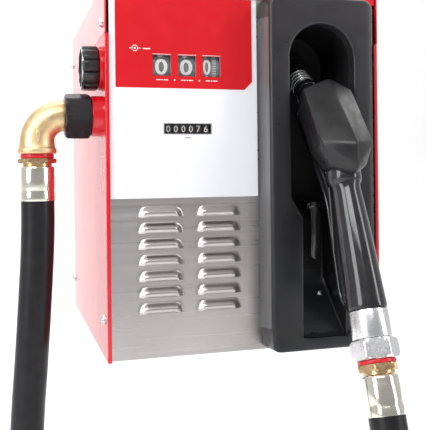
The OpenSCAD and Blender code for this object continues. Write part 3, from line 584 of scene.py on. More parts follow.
zinc = Finish("bright_zinc_plate", (0.74, 0.75, 0.77), 0.24, 1.0)
zinc.mottled(8, 5, (0.66, 0.67, 0.69), (0.80, 0.81, 0.82), 0.3, 0.75)
zinc.worn(0.16, 0.22, 5, 5, 0.35, 0.7)
zinc.grained(0.9, 2, 0.01, 0.4)


def cross_recess(radius, along, angle):
    """The head's middle sinks in a cross."""
    arm = min(abs(math.cos(angle)), abs(math.sin(angle)))
    return radius * (0.42 if arm > 0.28 and 1.0 < radius < 2.9 else 1.0)


screw_profile = [(5.9, 0), (5.9, 0.9), (5.2, 1.1), (5.0, 2.3), (4.4, 3.3), (3.4, 3.95), (2.8, 4.1), (2.5, 2.2),
                 (0.4, 1.9)]
for side in (-1, 1):
    shape = turned(screw_profile, (170 * side, -357, -170), (side, 0, 0), 32, cross_recess)
    shaft = turned([(2.5, -7), (2.5, 0.1)], (170 * side, -357, -170), (side, 0, 0), 16)
    screws = repeated("case_screws_left" if side < 0 else "case_screws_right", together(shape, shaft), zinc,
                      Columns=2, Column_Step=(0, 345, 0), Rows=2, Row_Step=(0, 0, 340))
    dress(screws, zinc, "cabinet", ("case_screws",), 30)

# ---- Front plate ----
# Polished stainless sheet, 2 mm, with fourteen louvres pressed out and slit at
# their lower edge. It stays bare below the white panel.
polished_steel = Finish("polished_stainless", (0.62, 0.585, 0.58), 0.3, 1.0)
rolling = polished_steel.noise(5, 4, (0.02, 1, 1))
polished_steel.put("Roughness", 0.26 + 0.12 * polished_steel.ramp(rolling, (0.35, 0.0), (0.7, 1.0)))
polished_steel.mottled(70, 3, (0.585, 0.55, 0.545), (0.64, 0.61, 0.60))
polished_steel.grained(1.2, 2, 0.01, 0.4, stretch=(0.01, 1, 1))


def pierced_sheet(x0, x1, z0, z1, y0, y1, holes):
    """A flat sheet with square holes, as cells between the holes' edges."""
    xs = sorted({x0, x1, *[h[0] for h in holes], *[h[1] for h in holes]})
    zs = sorted({z0, z1, *[h[2] for h in holes], *[h[3] for h in holes]})

    def solid(i, k):
        if not (0 <= i < len(xs) - 1 and 0 <= k < len(zs) - 1):
            return False
        x, z = (xs[i] + xs[i + 1]) / 2, (zs[k] + zs[k + 1]) / 2
        return not any(h[0] < x < h[1] and h[2] < z < h[3] for h in holes)

    points, faces = [], []

    def quad(*corners):
        faces.append(tuple(range(len(points), len(points) + 4)))
        points.extend(corners)

    for i in range(len(xs) - 1):
        for k in range(len(zs) - 1):
            if not solid(i, k):
                continue
            xa, xb, za, zb = xs[i], xs[i + 1], zs[k], zs[k + 1]
            quad((xa, y0, za), (xb, y0, za), (xb, y0, zb), (xa, y0, zb))
            quad((xa, y1, zb), (xb, y1, zb), (xb, y1, za), (xa, y1, za))
            for di, dk, edge in ((-1, 0, ((xa, za), (xa, zb))), (1, 0, ((xb, zb), (xb, za))),
                                 (0, -1, ((xb, za), (xa, za))), (0, 1, ((xa, zb), (xb, zb)))):
                if not solid(i + di, k + dk):
                    (ax, az), (bx, bz) = edge
                    quad((ax, y0, az), (ax, y1, az), (bx, y1, bz), (bx, y0, bz))
    return points, faces


window_centres = (-104.5, -75, -45.5)
litre_windows = [(x - 10.65, x + 10.65, 108.55, 132.45) for x in window_centres]
total_window = (-102.5, -46.5, 42.2, 53.8)
louvre_places = [(x, -40 - 18.3 * k) for x in (-108.2, -39.5) for k in range(7)]
louvre_slits = [(x - 24, x + 24, z - 12, z - 5) for x, z in louvre_places]
piece("front_plate_steel", together(
    pierced_sheet(-167, 167, -214, 212, -376, -374,
                  litre_windows + [total_window, (34.9, 123.9, -172, 175)] + louvre_slits),
    brick((-167, -376, -212), (-165, -367, 212)), brick((165, -376, -212), (167, -367, 212))),
    polished_steel, nodes=("front_plate",), sharp=20)


def louvre_hood(x, z):
    """One pressed hood, 56 x 13 mm, 6 mm proud, open along its lower edge."""
    across, down = 30, 14

    def rise(u, v):
        def ease(t):
            t = max(0.0, min(1.0, t))
            return t * t * (3 - 2 * t)
        slope = 28 - 4.5 * (1 - v) - abs(u)
        rolled = 1 - 0.28 * max(0.0, (v - 0.68) / 0.32) ** 2
        return 6.0 * ease(slope / 9.5) * ease(v / 0.6) * rolled

    outer, inner = [], []
    for j in range(down + 1):
        v = j / down
        row_out, row_in = [], []
        for i in range(across + 1):
            u = -28 + 56 * i / across
            h = rise(u, v)
            row_out.append((x + u, -376.05 - h, z - 13 * v))
            row_in.append((x + u, -376.0 - max(h - 0.95, 0.0), z - 13 * v))
        outer.append(row_out)
        inner.append(row_in)
    rings = [a + list(reversed(b)) for a, b in zip(outer, inner)]
    return skin(rings)


louvres = repeated("front_plate_louvres", louvre_hood(-108.2, -40), polished_steel,
                   Columns=2, Column_Step=(68.7, 0, 0), Rows=7, Row_Step=(0, 0, -18.3))
dress(louvres, polished_steel, "cabinet", sharp=50)

# ---- White panel, red label and windows ----
# A white sheet glued on the steel, a red printed label on it, and clear windows
# let in behind. The printing is plain marks: a reset sign, a bar under each
# window and two dots.
panel_white = Finish("white_panel_enamel", (0.86, 0.865, 0.9), 0.34, Specular_IOR_Level=0.5, Coat_Weight=0.3,
                     Coat_Roughness=0.15)
panel_white.mottled(90, 4, (0.84, 0.85, 0.885), (0.88, 0.885, 0.915))
panel_white.worn(0.3, 0.12, 25, 5, 0.35, 0.7)
panel_white.grained(1.8, 2, 0.008, 0.4)
carry_over("face_panel", panel_white, "white_paint")
label_red = Finish("red_label_vinyl", (0.64, 0.003, 0.010), 0.36, Specular_IOR_Level=0.4, Coat_Weight=0.25,
                   Coat_Roughness=0.2)
label_red.mottled(70, 4, (0.61, 0.002, 0.008), (0.67, 0.004, 0.013))
label_red.worn(0.32, 0.1, 18, 5, 0.35, 0.7)
label_red.grained(0.7, 2, 0.006, 0.4)
carry_over("red_label", label_red, "red_label")
window_glass = Finish("window_acrylic", (0.97, 0.98, 0.98), 0.02, Transmission_Weight=1.0, IOR=1.12)
window_glass.worn(0.01, 0.03, 12, 4, 0.4, 0.8)
carry_over("window_lenses", window_glass, "lens")

print_white = Finish("white_screen_ink", (0.85, 0.84, 0.84), 0.5)
print_white.mottled(1.5, 3, (0.80, 0.79, 0.79), (0.88, 0.87, 0.87), 0.2, 0.8)
print_grey = Finish("grey_screen_ink", (0.22, 0.2, 0.21), 0.5)
print_grey.mottled(1.5, 3, (0.2, 0.18, 0.19), (0.26, 0.24, 0.25), 0.2, 0.8)
ink_front = -377.3


def washer(x, z, outer, inner, thick=0.06, sides=40):
    return turned([(outer, 0), (outer, thick), (inner, thick), (inner, 0)], (x, ink_front, z), (0, -1, 0), sides,
                  close=False)


def inked_bar(x0, x1, z0, z1, front=ink_front):
    return brick((x0, front - 0.06, z0), (x1, front, z1))


marks = [washer(-135.7, 139.2, 3.6, 2.9), washer(-135.7, 139.2, 1.1, 0.2, sides=20),
         inked_bar(-141.6, -140.2, 138.6, 139.8), inked_bar(-131.2, -129.8, 138.6, 139.8),
         inked_bar(-126.6, -118, 138.3, 139.5)]
for x in window_centres:
    marks += [inked_bar(x - 7, x - 1.8, 103.4, 104.4), inked_bar(x - 0.9, x + 0.9, 103.4, 104.4),
              inked_bar(x + 1.8, x + 7, 103.4, 104.4)]
    marks += [inked_bar(x - 10.9, x + 10.9, 133.0, 133.5)]
marks += [washer(x + 14.75, 103.9, 0.9, 0.2, sides=16) for x in window_centres[:2]]
piece("label_marks", together(*marks), print_white, sharp=40)
piece("panel_marks", together(inked_bar(-78.5, -70.5, 37.1, 38.1, -376.85), inked_bar(-103.3, -102.7, 41.6, 54.4,
        -376.85),
                              inked_bar(-46.3, -45.7, 41.6, 54.4, -376.85), inked_bar(-103.3, -45.7, 54.0, 54.5,
                                      -376.85),
                              inked_bar(-103.3, -45.7, 41.5, 42.0, -376.85)), print_grey, sharp=40)


# ---- Nozzle boot ----
# One vacuum-formed shell of black ABS with a fine grain: a raised front with an
# arched pocket for the nozzle's head, a narrower channel below it that runs out
# in a ramp, and a sleeve behind for the spout.
boot_plastic = Finish("boot_grained_abs", (0.03, 0.029, 0.032), 0.35, Specular_IOR_Level=0.5)
# Painted light: the base colour runs from near black at the bottom of the shell to lighter at its top, standing in for
# light falling from above.
tall = boot_plastic.node("ShaderNodeSeparateXYZ", {}, {0: boot_plastic.place()}, output=2)
painted_top_light = boot_plastic.node("ShaderNodeMapRange", {}, {"Value": tall, "From Min": -0.2, "From Max": 0.2,
                                                     "To Min": 0.0, "To Max": 1.0})
boot_plastic.put("Base Color", boot_plastic.ramp(painted_top_light + 0.25 * (boot_plastic.noise(40, 4) - 0.5),
                 (0.0, (0.006, 0.007, 0.009)), (1.0, (0.026, 0.024, 0.027))))
grain = boot_plastic.node("ShaderNodeTexVoronoi", {"feature": "SMOOTH_F1"},
                          {"Vector": boot_plastic.place((900, 900, 900)), "Scale": 1.0})
boot_plastic.worn(0.26, 0.14, 22, 5)
boot_plastic.bump(grain + 0.5 * boot_plastic.noise(0.6, 2), 0.05, 0.5)
# Painted shade: a near-black copy of the shell's plastic for the pocket's walls deeper than 15 mm, the spout sleeve and
# the lever lugs, standing in for the shade deep inside the pocket.
boot_inside_painted_shade = Finish("boot_inside_abs", (0.006, 0.006, 0.007), 0.55, Specular_IOR_Level=0.3)
boot_inside_painted_shade.mottled(30, 4, (0.005, 0.005, 0.006), (0.009, 0.009, 0.010))
boot_inside_painted_shade.grained(0.7, 2, 0.04, 0.4)

boot_x = 79.4


def pocket_outline(grow, arc=28):
    """Left half of the opening from its top to its bottom middle; grow moves it outwards."""
    half = [(-(40.5 + grow) * math.sin(a), 129 + (40.5 + grow) * math.cos(a))
            for a in [math.pi / 2 * k / arc for k in range(arc + 1)]]
    for k in range(1, 13):
        half.append((-(40.5 + grow), 129 - 159 * k / 13))
    half.append((-(40.5 + grow) + 0.2, -31.5))
    for k in range(1, 6):
        t = k / 6
        half.append((-(40.5 + grow) + 14.1 * t, -32 - grow * 0.5 - 25 * t))
    for k in range(0, 15):
        half.append((-(26.4 + grow), -57 - grow * 0.5 - (139 - grow * 0.5) * k / 14 - (grow if k == 14 else 0)))
    low = half[-1][1]
    half += [(-(26.4 + grow) * t, low) for t in (0.75, 0.5, 0.25, 0.0)]
    return half


def whole(half):
    return half + [(-x, z) for x, z in reversed(half[1:-1])]


def pocket_depth(z):
    if z > -32:
        return -321.0
    if z > -57:
        return -321 - 31 * (-32 - z) / 25
    if z > -137:
        return -352.0
    return max(-411.0, -352 - 59 * (-137 - z) / 59)


opening = whole(pocket_outline(0))
count = len(opening)


def outer_outline(inset):
    """The shell's rounded rectangle, point for point with the opening."""
    x1, z0, z1, r = 67 - inset, -213 + inset, 202.5 - inset, max(12 - inset, 2)
    found = []
    for x, z in opening:
        dx, dz = x, (z - 5 if abs(z - 5) > 1e-6 else 1e-6)
        tall_half = (z1 - z0) / 2
        scale = 1 / max(abs(dx) / x1, abs(dz) / tall_half, 1e-9)
        px, pz = dx * scale, dz * scale
        qx, qz = x1 - r, tall_half - r
        if abs(px) > qx and abs(pz) > qz:
            ex, ez = abs(px) - qx, abs(pz) - qz
            length = math.hypot(ex, ez)
            px, pz = math.copysign(qx + ex / length * r, px), math.copysign(qz + ez / length * r, pz)
        found.append((px, (z0 + z1) / 2 + pz))
    return found


def boot_ring(outline, depth):
    return [(boot_x + x, depth(z) if callable(depth) else depth, z) for x, z in outline]


def blended(a, b, t):
    return [(ax + (bx - ax) * t, az + (bz - az) * t) for (ax, az), (bx, bz) in zip(a, b)]


boot_face = -414
rings = [boot_ring(outer_outline(0), -376.0)]
for k in range(7):
    turn = math.pi / 2 * k / 6
    rings.append(boot_ring(outer_outline(1.5 + 5 * (1 - math.cos(turn))), boot_face + 5 * (1 - math.sin(turn))))
for t in (0.35, 0.7):
    rings.append(boot_ring(blended(outer_outline(6.5), whole(pocket_outline(3.0)), t), boot_face))
for k in range(6):
    turn = math.pi / 2 * k / 5
    rings.append(boot_ring(whole(pocket_outline(3.0 * (1 - math.sin(turn)))),
                           lambda z, s=3.0 * (1 - math.cos(turn)): min(boot_face + s, pocket_depth(z) - 0.01)))
for inward in (15, 15.4, 40, 70):
    rings.append(boot_ring(whole(pocket_outline(-0.2 if inward > 15 else -0.1)),
                           lambda z, d=inward: min(boot_face + d, pocket_depth(z) - 3)))
for k in range(5):
    turn = math.pi / 2 * k / 4
    rings.append(boot_ring(whole(pocket_outline(-0.2 - 4 * (1 - math.cos(turn)))),
                           lambda z, s=4 * (1 - math.sin(turn)): pocket_depth(z) - s * 0.75))
points, faces = skin(rings, ends=(False, False))
back = len(points) - count
half_count = count // 2
for k in range(half_count):
    a, b = back + k, back + k + 1
    c, d = back + (count - k) % count, back + (count - k - 1) % count
    if k == 0:
        faces.append((a, b, d))
    elif k == half_count - 1:
        faces.append((a, b, c))
    else:
        faces.append((a, b, d, c))
boot = piece("boot_shell", (points, faces), boot_plastic, nodes=("boot_housing",), sharp=60)
boot.data.materials.append(boot_inside_painted_shade.material)
# Painted light: a lighter grey copy of the shell's plastic for its two outer side walls, standing in for the light
# falling on them.
boot_side_painted_light = Finish("boot_side_abs", (0.12, 0.122, 0.13), 0.4, Specular_IOR_Level=0.5)
boot_side_painted_light.mottled(30, 4, (0.10, 0.102, 0.11), (0.15, 0.152, 0.16), stretch=(1, 1, 0.3))
boot_side_painted_light.grained(0.7, 2, 0.03, 0.4)
boot.data.materials.append(boot_side_painted_light.material)
# Faces in the pocket deeper than 15 mm get the painted-shade copy of the plastic.
for polygon in boot.data.polygons:
    middle = sum((boot.data.vertices[i].co for i in polygon.vertices), Vector()) / len(polygon.vertices)
    if middle.y > -0.3989 and abs(middle.x - boot_x / 1000) < 0.0412 and middle.z > -0.13 and middle.z < 0.17:
        polygon.material_index = 1
    # The outer side walls get the painted-light copy of the plastic.
    elif abs(middle.x - boot_x / 1000) > 0.0655 and abs(polygon.normal.x) > 0.8:
        polygon.material_index = 2
wall = boot.modifiers.new("wall", "SOLIDIFY")
wall.thickness = 0.0025
wall.offset = -1
sleeve_dir = Vector((0, math.cos(math.radians(34.5)), math.sin(math.radians(34.5))))
spout_socket = Vector((boot_x, -395, 75.7))
piece("boot_spout_sleeve", turned([(20.8, 91), (20.8, 206), (19, 208), (0.5, 208), (0.5, 204), (18.4, 204), (18.4, 91)],
               spout_socket, sleeve_dir, 48, close=False), boot_inside_painted_shade, sharp=40)
boot_screws = together(turned(screw_profile, (0, 0, 0), (0, 0, 1), 32, cross_recess))
for name, (x, y, z) in (("boot_screw_low", (92.5, -368.5, -153)), ("boot_screw_high", (66.0, -368.5, -153))):
    tilt = Matrix.Translation((x, y, z)) @ Matrix.Rotation(math.radians(45), 4, "X") @ Matrix.Scale(0.62, 4)
    piece(name, placed(boot_screws, tilt), zinc, sharp=30)

# ---- Switch lever and switch ----
# A glossy black moulded tongue hangs in the channel on a pin; the nozzle pushes it
# as it is hung up and the switch behind it stops the motor.
gloss_black = Finish("lever_gloss_plastic", (0.014, 0.014, 0.016), 0.12, Specular_IOR_Level=0.6, Coat_Weight=0.6,
                     Coat_Roughness=0.04)
gloss_black.worn(0.1, 0.14, 9, 5, 0.4, 0.75)
gloss_black.grained(5, 3, 0.05, 0.4)
tongue = []
for k in range(25):
    t = k / 24
    z = -41 - 71 * t
    half = 6.9 if z > -101 else math.sqrt(max(7.6 ** 2 - (z + 104) ** 2, 0.2)) * 0.92
    bow = -3.2 * math.sin(math.pi * min(1, t * 1.05))
    section = []
    for j in range(20):
        turn = 2 * math.pi * j / 20
        section.append((boot_x + 10 + half * math.copysign(abs(math.cos(turn)) ** 0.6, math.cos(turn)),
                        -363 + bow + 2.4 * math.sin(turn), z))
    tongue.append(section)
piece("switch_tongue", together(skin(tongue), turned([(2.9, 0.2), (2.9, 19.8)], (boot_x, -361, -45), (1, 0, 0), 24),
              turned([(5.2, 2.4), (5.5, 3), (5.5, 17), (5.2, 17.6)], (boot_x, -361, -45), (1, 0, 0), 32)),
              gloss_black, "switch_lever", ("switch_lever",), 40)
switch_case = Finish("switch_case_phenolic", (0.03, 0.03, 0.032), 0.5)
switch_case.grained(1.1, 3, 0.05, 0.4)
switch_case.mottled(4, 4, (0.024, 0.024, 0.026), (0.04, 0.04, 0.042))
carry_over("switch_box", switch_case, "dark_steel")
lugs = piece("lever_lugs", together(brick((boot_x - 1, -366, -50), (boot_x + 0.1, -322, -40)),
             brick((boot_x + 19.9, -366, -50), (boot_x + 21, -322, -40))), boot_inside_painted_shade, sharp=30)
rounded_edges(lugs, 0.3)

# ---- Reset knob ----
# Moulded black phenolic with ten finger flutes and a plated ring let into its
# face. Its steel shaft runs through the litre wheels.
knob_y, knob_z = -342, 119.5
bakelite = Finish("knob_phenolic", (0.02, 0.019, 0.02), 0.28, Specular_IOR_Level=0.55)
bakelite.worn(0.22, 0.2, 7, 5, 0.35, 0.7)
bakelite.mottled(5, 5, (0.014, 0.013, 0.014), (0.03, 0.028, 0.03), 0.3, 0.75)
bakelite.grained(1.2, 3, 0.02, 0.5)


def fluted(radius, along, angle):
    if radius < 22:
        return radius
    turn = (angle * 10 / (2 * math.pi)) % 1.0
    near = abs(turn - 0.5) * 2
    return radius - 3.1 * max(0.0, 1 - (1 - near) * 2.6) ** 1.6 * (1 if radius > 23 else 0.5)


knob_profile = [(5, -16), (5, 0), (22.5, 0), (24.9, 0.6), (25.8, 2.0), (25.8, 15.4), (25.3, 17.4), (24.2, 18.7),
                (22.8, 19.0), (21.9, 18.6), (21.6, 16.8), (12, 16.0), (4, 15.8), (0.3, 15.8)]
knob_at = (-174, knob_y, knob_z)
piece("knob_fluted", turned(knob_profile, knob_at, (-1, 0, 0), 120, fluted), bakelite, "knob",
      ("knob",), 45)
piece("knob_shaft", turned([(4.4, 10), (5, 10.8), (5, 162), (4.2, 163)], (-173, knob_y, knob_z), (1, 0, 0), 32),
      zinc, "knob", sharp=35)
piece("knob_face_ring", turned([(23.9, 18.4), (23.6, 19.3), (22.4, 19.3), (22.1, 18.2)], knob_at, (-1, 0, 0), 96,
                               close=False), zinc, "knob", sharp=50)
piece("knob_pointer", together(brick((-190.6, knob_y - 1.1, knob_z + 5), (-189.6, knob_y + 1.1, knob_z + 19)),
                   turned([(3.0, 15.4), (3.0, 16.5), (2.2, 17.0), (0.2, 17.0)], knob_at, (-1, 0, 0),
                          24)), zinc, "knob", sharp=40)

# ---- Side bosses ----
# Two turned steel bosses welded to the left side and painted with it: one round
# the knob's shaft and one round the outlet pipe.
piece("side_bosses_painted", together(
    turned([(25.0, 0), (25.4, 0.4), (25.4, 3.1), (24.9, 3.6), (5.3, 3.6), (5.3, -10), (12, -10), (12, 0)], (-170,
            knob_y, knob_z), (-1, 0, 0), 64, close=False),
    turned([(23.5, 0), (23.5, 11.9), (22.7, 12.8), (15.2, 12.8), (15.2, -7), (18, -7), (18, 0)], (-170, outlet_y,
            outlet_z), (-1, 0, 0), 64, close=False)),
    red_paint, nodes=("side_bosses",), sharp=35)

# ---- Counter frame ----
# Folded zinc-plated plates that carry the litre shaft and the totalizer's axle.
carry_over("counter_frame", zinc, "zinc")

# ---- Litre wheels ----
# Three grey moulded wheels on the knob's shaft with raised white figures; the
# third also has a graduated scale, and a gold crown gear on its side that the
# meter drives.
wheel_grey = Finish("litre_wheel_grey", (0.22, 0.215, 0.22), 0.55)
wheel_grey.mottled(12, 4, (0.20, 0.195, 0.20), (0.24, 0.235, 0.24))
wheel_grey.grained(0.8, 2, 0.02, 0.4)
figure_white = Finish("figure_white", (0.86, 0.84, 0.83), 0.5)
figure_white.mottled(2, 4, (0.80, 0.78, 0.77), (0.90, 0.88, 0.87), 0.25, 0.75)
figure_white.grained(0.5, 2, 0.01, 0.3)
wheel_black = Finish("totalizer_wheel_black", (0.035, 0.028, 0.03), 0.5)
wheel_black.mottled(7, 4, (0.028, 0.022, 0.024), (0.05, 0.04, 0.042))
wheel_black.grained(0.8, 2, 0.02, 0.4)


def flat_figure(mark, height, widen, weight):
    """A figure as a thin solid, cut in level strips so that it can wrap a wheel."""
    text = bpy.data.curves.new("figure", "FONT")
    text.body = mark
    text.size = 0.01
    text.align_x = "CENTER"
    text.offset = weight
    text.extrude = 0.00012
    text.resolution_u = 5
    holder = bpy.data.objects.new("figure", text)
    bpy.context.scene.collection.objects.link(holder)
    mesh = bpy.data.meshes.new_from_object(holder.evaluated_get(bpy.context.evaluated_depsgraph_get()))
    bpy.data.objects.remove(holder)
    work = bmesh.new()
    work.from_mesh(mesh)
    bmesh.ops.remove_doubles(work, verts=work.verts, dist=1e-7)
    low = min(v.co.y for v in work.verts)
    high = max(v.co.y for v in work.verts)
    left = min(v.co.x for v in work.verts)
    right = max(v.co.x for v in work.verts)
    for k in range(1, 9):
        level = low + (high - low) * k / 9
        bmesh.ops.bisect_plane(work, geom=work.verts[:] + work.edges[:] + work.faces[:], dist=1e-8,
                               plane_co=(0, level, 0), plane_no=(0, 1, 0))
    work.verts.index_update()
    scale = height / (high - low)
    points = [((v.co.x - (left + right) / 2) * scale * widen, (v.co.y - (low + high) / 2) * scale,
               v.co.z * 1000) for v in work.verts]
    faces = [tuple(v.index for v in f.verts) for f in work.faces]
    work.free()
    return points, faces


def round_wheel(shape, middle, radius, angle):
    """Wraps a flat shape round a wheel that turns about X."""
    x, y, z = middle
    found = []
    for u, v, lift in shape[0]:
        turn = math.radians(angle) + v / radius
        r = radius + lift
        found.append((x + u, y - r * math.cos(turn), z + r * math.sin(turn)))
    return found, shape[1]


def number_wheel(half, radius, bore):
    """A wheel's rim, web and hub as one turned section."""
    return [(radius - 0.6, -half), (radius, -half + 0.6), (radius, half - 0.6), (radius - 0.6, half),
            (radius - 2.2, half),
            (radius - 2.8, half - 1.6), (bore + 3.4, half - 1.6), (bore + 2.6, half), (bore, half), (bore, -half),
            (bore + 2.6, -half), (bore + 3.4, 1.6 - half), (radius - 2.8, 1.6 - half), (radius - 2.2, -half)]


litre_figures = [flat_figure(str(d), 18.4, 1.22, 0.0002) for d in range(10)]
for number, x in enumerate(window_centres, 1):
    wheel_at = (x, knob_y, knob_z)
    body, node = f"litre_wheel_{number}", f"litre_wheel_{number}"
    rim = turned(number_wheel(11, 31, 5.06), wheel_at, (1, 0, 0), 72, close=False)
    piece(f"{node}_rim", rim, wheel_grey, body, (node,), 30)
    squeeze = 0.62 if number == 3 else 1.0
    shift = -4.6 if number == 3 else 0.0
    figures = []
    for d in range(10):
        points, faces = litre_figures[d]
        flat = [(u * squeeze + shift, v, w + 0.1) for u, v, w in points]
        figures.append(round_wheel((flat, faces), wheel_at, 31, -36 * d + (2.0 if number == 3 else 0.0)))
    piece(f"{node}_figures", together(*figures), figure_white, body, sharp=40)
scale_at = (window_centres[2], knob_y, knob_z)
tick = round_wheel(brick((2.2, -0.28, 0.0), (6.6, 0.28, 0.2)), scale_at, 31, 0)
ticks = repeated("litre_wheel_3_scale", tick, figure_white, Turns=100, Turn_Angle=math.radians(3.6), Turn_Axis=(1,
        0, 0),
                 Turn_Centre=scale_at)
dress(ticks, figure_white, "litre_wheel_3", sharp=40)
brass_gear = Finish("gear_brass", (0.78, 0.56, 0.24), 0.3, 1.0)
brass_gear.worn(0.22, 0.2, 3, 4)
brass_gear.grained(0.6, 2, 0.01, 0.4)
crown_x = -34.5
crown_teeth = repeated("litre_wheel_3_crown_teeth", brick((crown_x + 2.9, knob_y + 19.5, knob_z - 0.9),
                                                          (crown_x + 4.9, knob_y + 25, knob_z + 0.9)),
                       brass_gear, Turns=32, Turn_Angle=math.radians(11.25), Turn_Axis=(1, 0,
                               0), Turn_Centre=(crown_x, knob_y, knob_z))
dress(crown_teeth, brass_gear, "litre_wheel_3", sharp=30)
piece("litre_wheel_3_crown", turned([(24.6, 0), (25, 0.4), (25, 2.9), (5.06, 2.9), (5.06, 0)], (crown_x, knob_y,
        knob_z), (1, 0, 0), 64, close=False),
      brass_gear, "litre_wheel_3", sharp=30)

# ---- Totalizer wheels ----
# Six narrow black wheels on one axle, with thin white figures, that can't be
# set back.
total_at = (-357.8, 48)
total_figures = [flat_figure(str(d), 7.4, 0.95, -0.00002) for d in range(10)]
for number, shown in enumerate((0, 0, 0, 0, 7, 6), 1):
    x = -74.5 + (number - 3.5) * 9
    node = f"total_wheel_{number}"
    piece(f"{node}_rim", turned(number_wheel(4.2, 15, 2.06), (x, *total_at), (1, 0, 0), 60, close=False),
          wheel_black, node, (node,), 30)
    figures = [round_wheel(([(u, v, w + 0.1) for u, v, w in total_figures[d][0]], total_figures[d][1]), (x,
            *total_at), 15, -36 * (d - shown))
               for d in range(10)]
    piece(f"{node}_figures", together(*figures), figure_white, node, sharp=40)

# ---- Meter, pipes, pump and motor ----
# Everything behind the front plate: a die-cast meter, welded zinc-plated pipes, a
# cast-iron vane pump and an aluminium-framed motor with a plastic fan.
cast_alloy = Finish("die_cast_aluminium", (0.55, 0.56, 0.57), 0.45, 1.0)
cast_alloy.worn(0.38, 0.2, 9, 5)
cast_alloy.grained(1.1, 3, 0.05, 0.5)
cast_iron = Finish("painted_cast_iron", (0.09, 0.1, 0.11), 0.5)
cast_iron.mottled(14, 5, (0.07, 0.08, 0.09), (0.12, 0.13, 0.14))
cast_iron.grained(1.4, 4, 0.12, 0.7)
laminations = Finish("stator_laminations", (0.3, 0.28, 0.27), 0.45, 1.0)
sheets = laminations.node("ShaderNodeTexWave", {"wave_type": "BANDS", "bands_direction": "Y"},
                          {"Vector": laminations.place((320, 320, 320)), "Scale": 1.0})
laminations.bump(sheets, 0.2, 0.6)
laminations.put("Base Color", laminations.ramp(sheets, (0.2, (0.2, 0.19, 0.18)), (0.8, (0.36, 0.34, 0.33))))
ground_steel = Finish("ground_steel", (0.6, 0.6, 0.61), 0.22, 1.0)
ground_steel.worn(0.16, 0.14, 4, 4, stretch=(1, 8, 1))
ground_steel.grained(0.5, 2, 0.006, 0.3)
fan_plastic = Finish("fan_polyamide", (0.62, 0.6, 0.55), 0.5)
fan_plastic.mottled(20, 4, (0.56, 0.54, 0.49), (0.66, 0.64, 0.59))
fan_plastic.grained(0.9, 2, 0.02, 0.4)
vane_carbon = Finish("vane_carbon", (0.04, 0.04, 0.042), 0.6)
vane_carbon.grained(0.4, 3, 0.02, 0.5)
vane_carbon.mottled(2, 4, (0.03, 0.03, 0.032), (0.055, 0.055, 0.058))
black_enamel = Finish("black_enamel", (0.012, 0.009, 0.012), 0.3, Specular_IOR_Level=0.35)
black_enamel.worn(0.24, 0.16, 12, 5)
black_enamel.grained(1.3, 3, 0.03, 0.5)
gland_nylon = Finish("gland_nylon", (0.03, 0.03, 0.032), 0.45)
gland_nylon.mottled(6, 4, (0.025, 0.025, 0.027), (0.042, 0.042, 0.044))
gland_nylon.grained(0.7, 2, 0.02, 0.4)
for name, finish, slot in (("meter_body", cast_alloy, "cast_alloy"), ("meter_rotor", fan_plastic, "meter_plastic"),
                           ("outlet_pipe", zinc, "zinc"), ("delivery_pipe", zinc, "zinc"),
                           ("pump_body", cast_iron, "cast_iron"), ("pump_cover", cast_iron, "cast_iron"),
                           ("pump_rotor", ground_steel, "steel"), ("pump_vanes", vane_carbon, "vane_plastic"),
                           ("pump_caps", brass_gear, "brass"), ("bypass_poppet", brass_gear, "brass"),
                           ("motor_frame", cast_alloy, "cast_alloy"), ("stator", laminations, "cast_iron"),
                           ("motor_shaft", ground_steel, "zinc"), ("motor_fan", fan_plastic, "meter_plastic"),
                           ("fan_cowl", black_enamel, "black_paint"), ("cable_gland", gland_nylon, "knob_plastic")):
    carry_over(name, finish, slot)

# ---- Union nut ----
# Black enamelled hexagon that draws the elbow onto the outlet boss.
def hexagon(radius_to_corner, start):
    def section(radius, along, angle):
        turn = (angle - start + math.pi / 6) % (math.pi / 3) - math.pi / 6
        flat = radius_to_corner * math.cos(math.pi / 6) / math.cos(math.pi / 6 - abs(turn))
        return min(radius, flat)
    return section


piece("union_nut_hex",
      turned([(16.9, 0), (22.4, 0), (24.6, 0.9), (26.2, 2.4), (27.4, 4.2), (27.4, 25.4), (26.0, 26.9), (24.4,
        28.3), (22.6, 29.2),
                                     (15.4, 29.2), (15.4, 14.2), (16.9, 14.2)],
                                    (-212.5, outlet_y, outlet_z), (1, 0, 0), 240, hexagon(26.9,
                                            math.radians(47.4)), close=False),
            black_enamel, nodes=("union_nut",), sharp=24)

# ---- Outlet elbow ----
# Sand-cast brass, 1 inch, with a bead at its lower mouth and a small raised pad
# from the mould.
cast_brass = Finish("sand_cast_brass", (0.84, 0.62, 0.36), 0.38, 1.0)
cast_brass.mottled(9, 5, (0.76, 0.52, 0.26), (0.90, 0.72, 0.46), 0.25, 0.75)
cast_brass.worn(0.34, 0.2, 4, 5)
cast_brass.bump(cast_brass.noise(0.75, 4) + 0.6 * cast_brass.noise(3, 3), 0.07, 0.7)


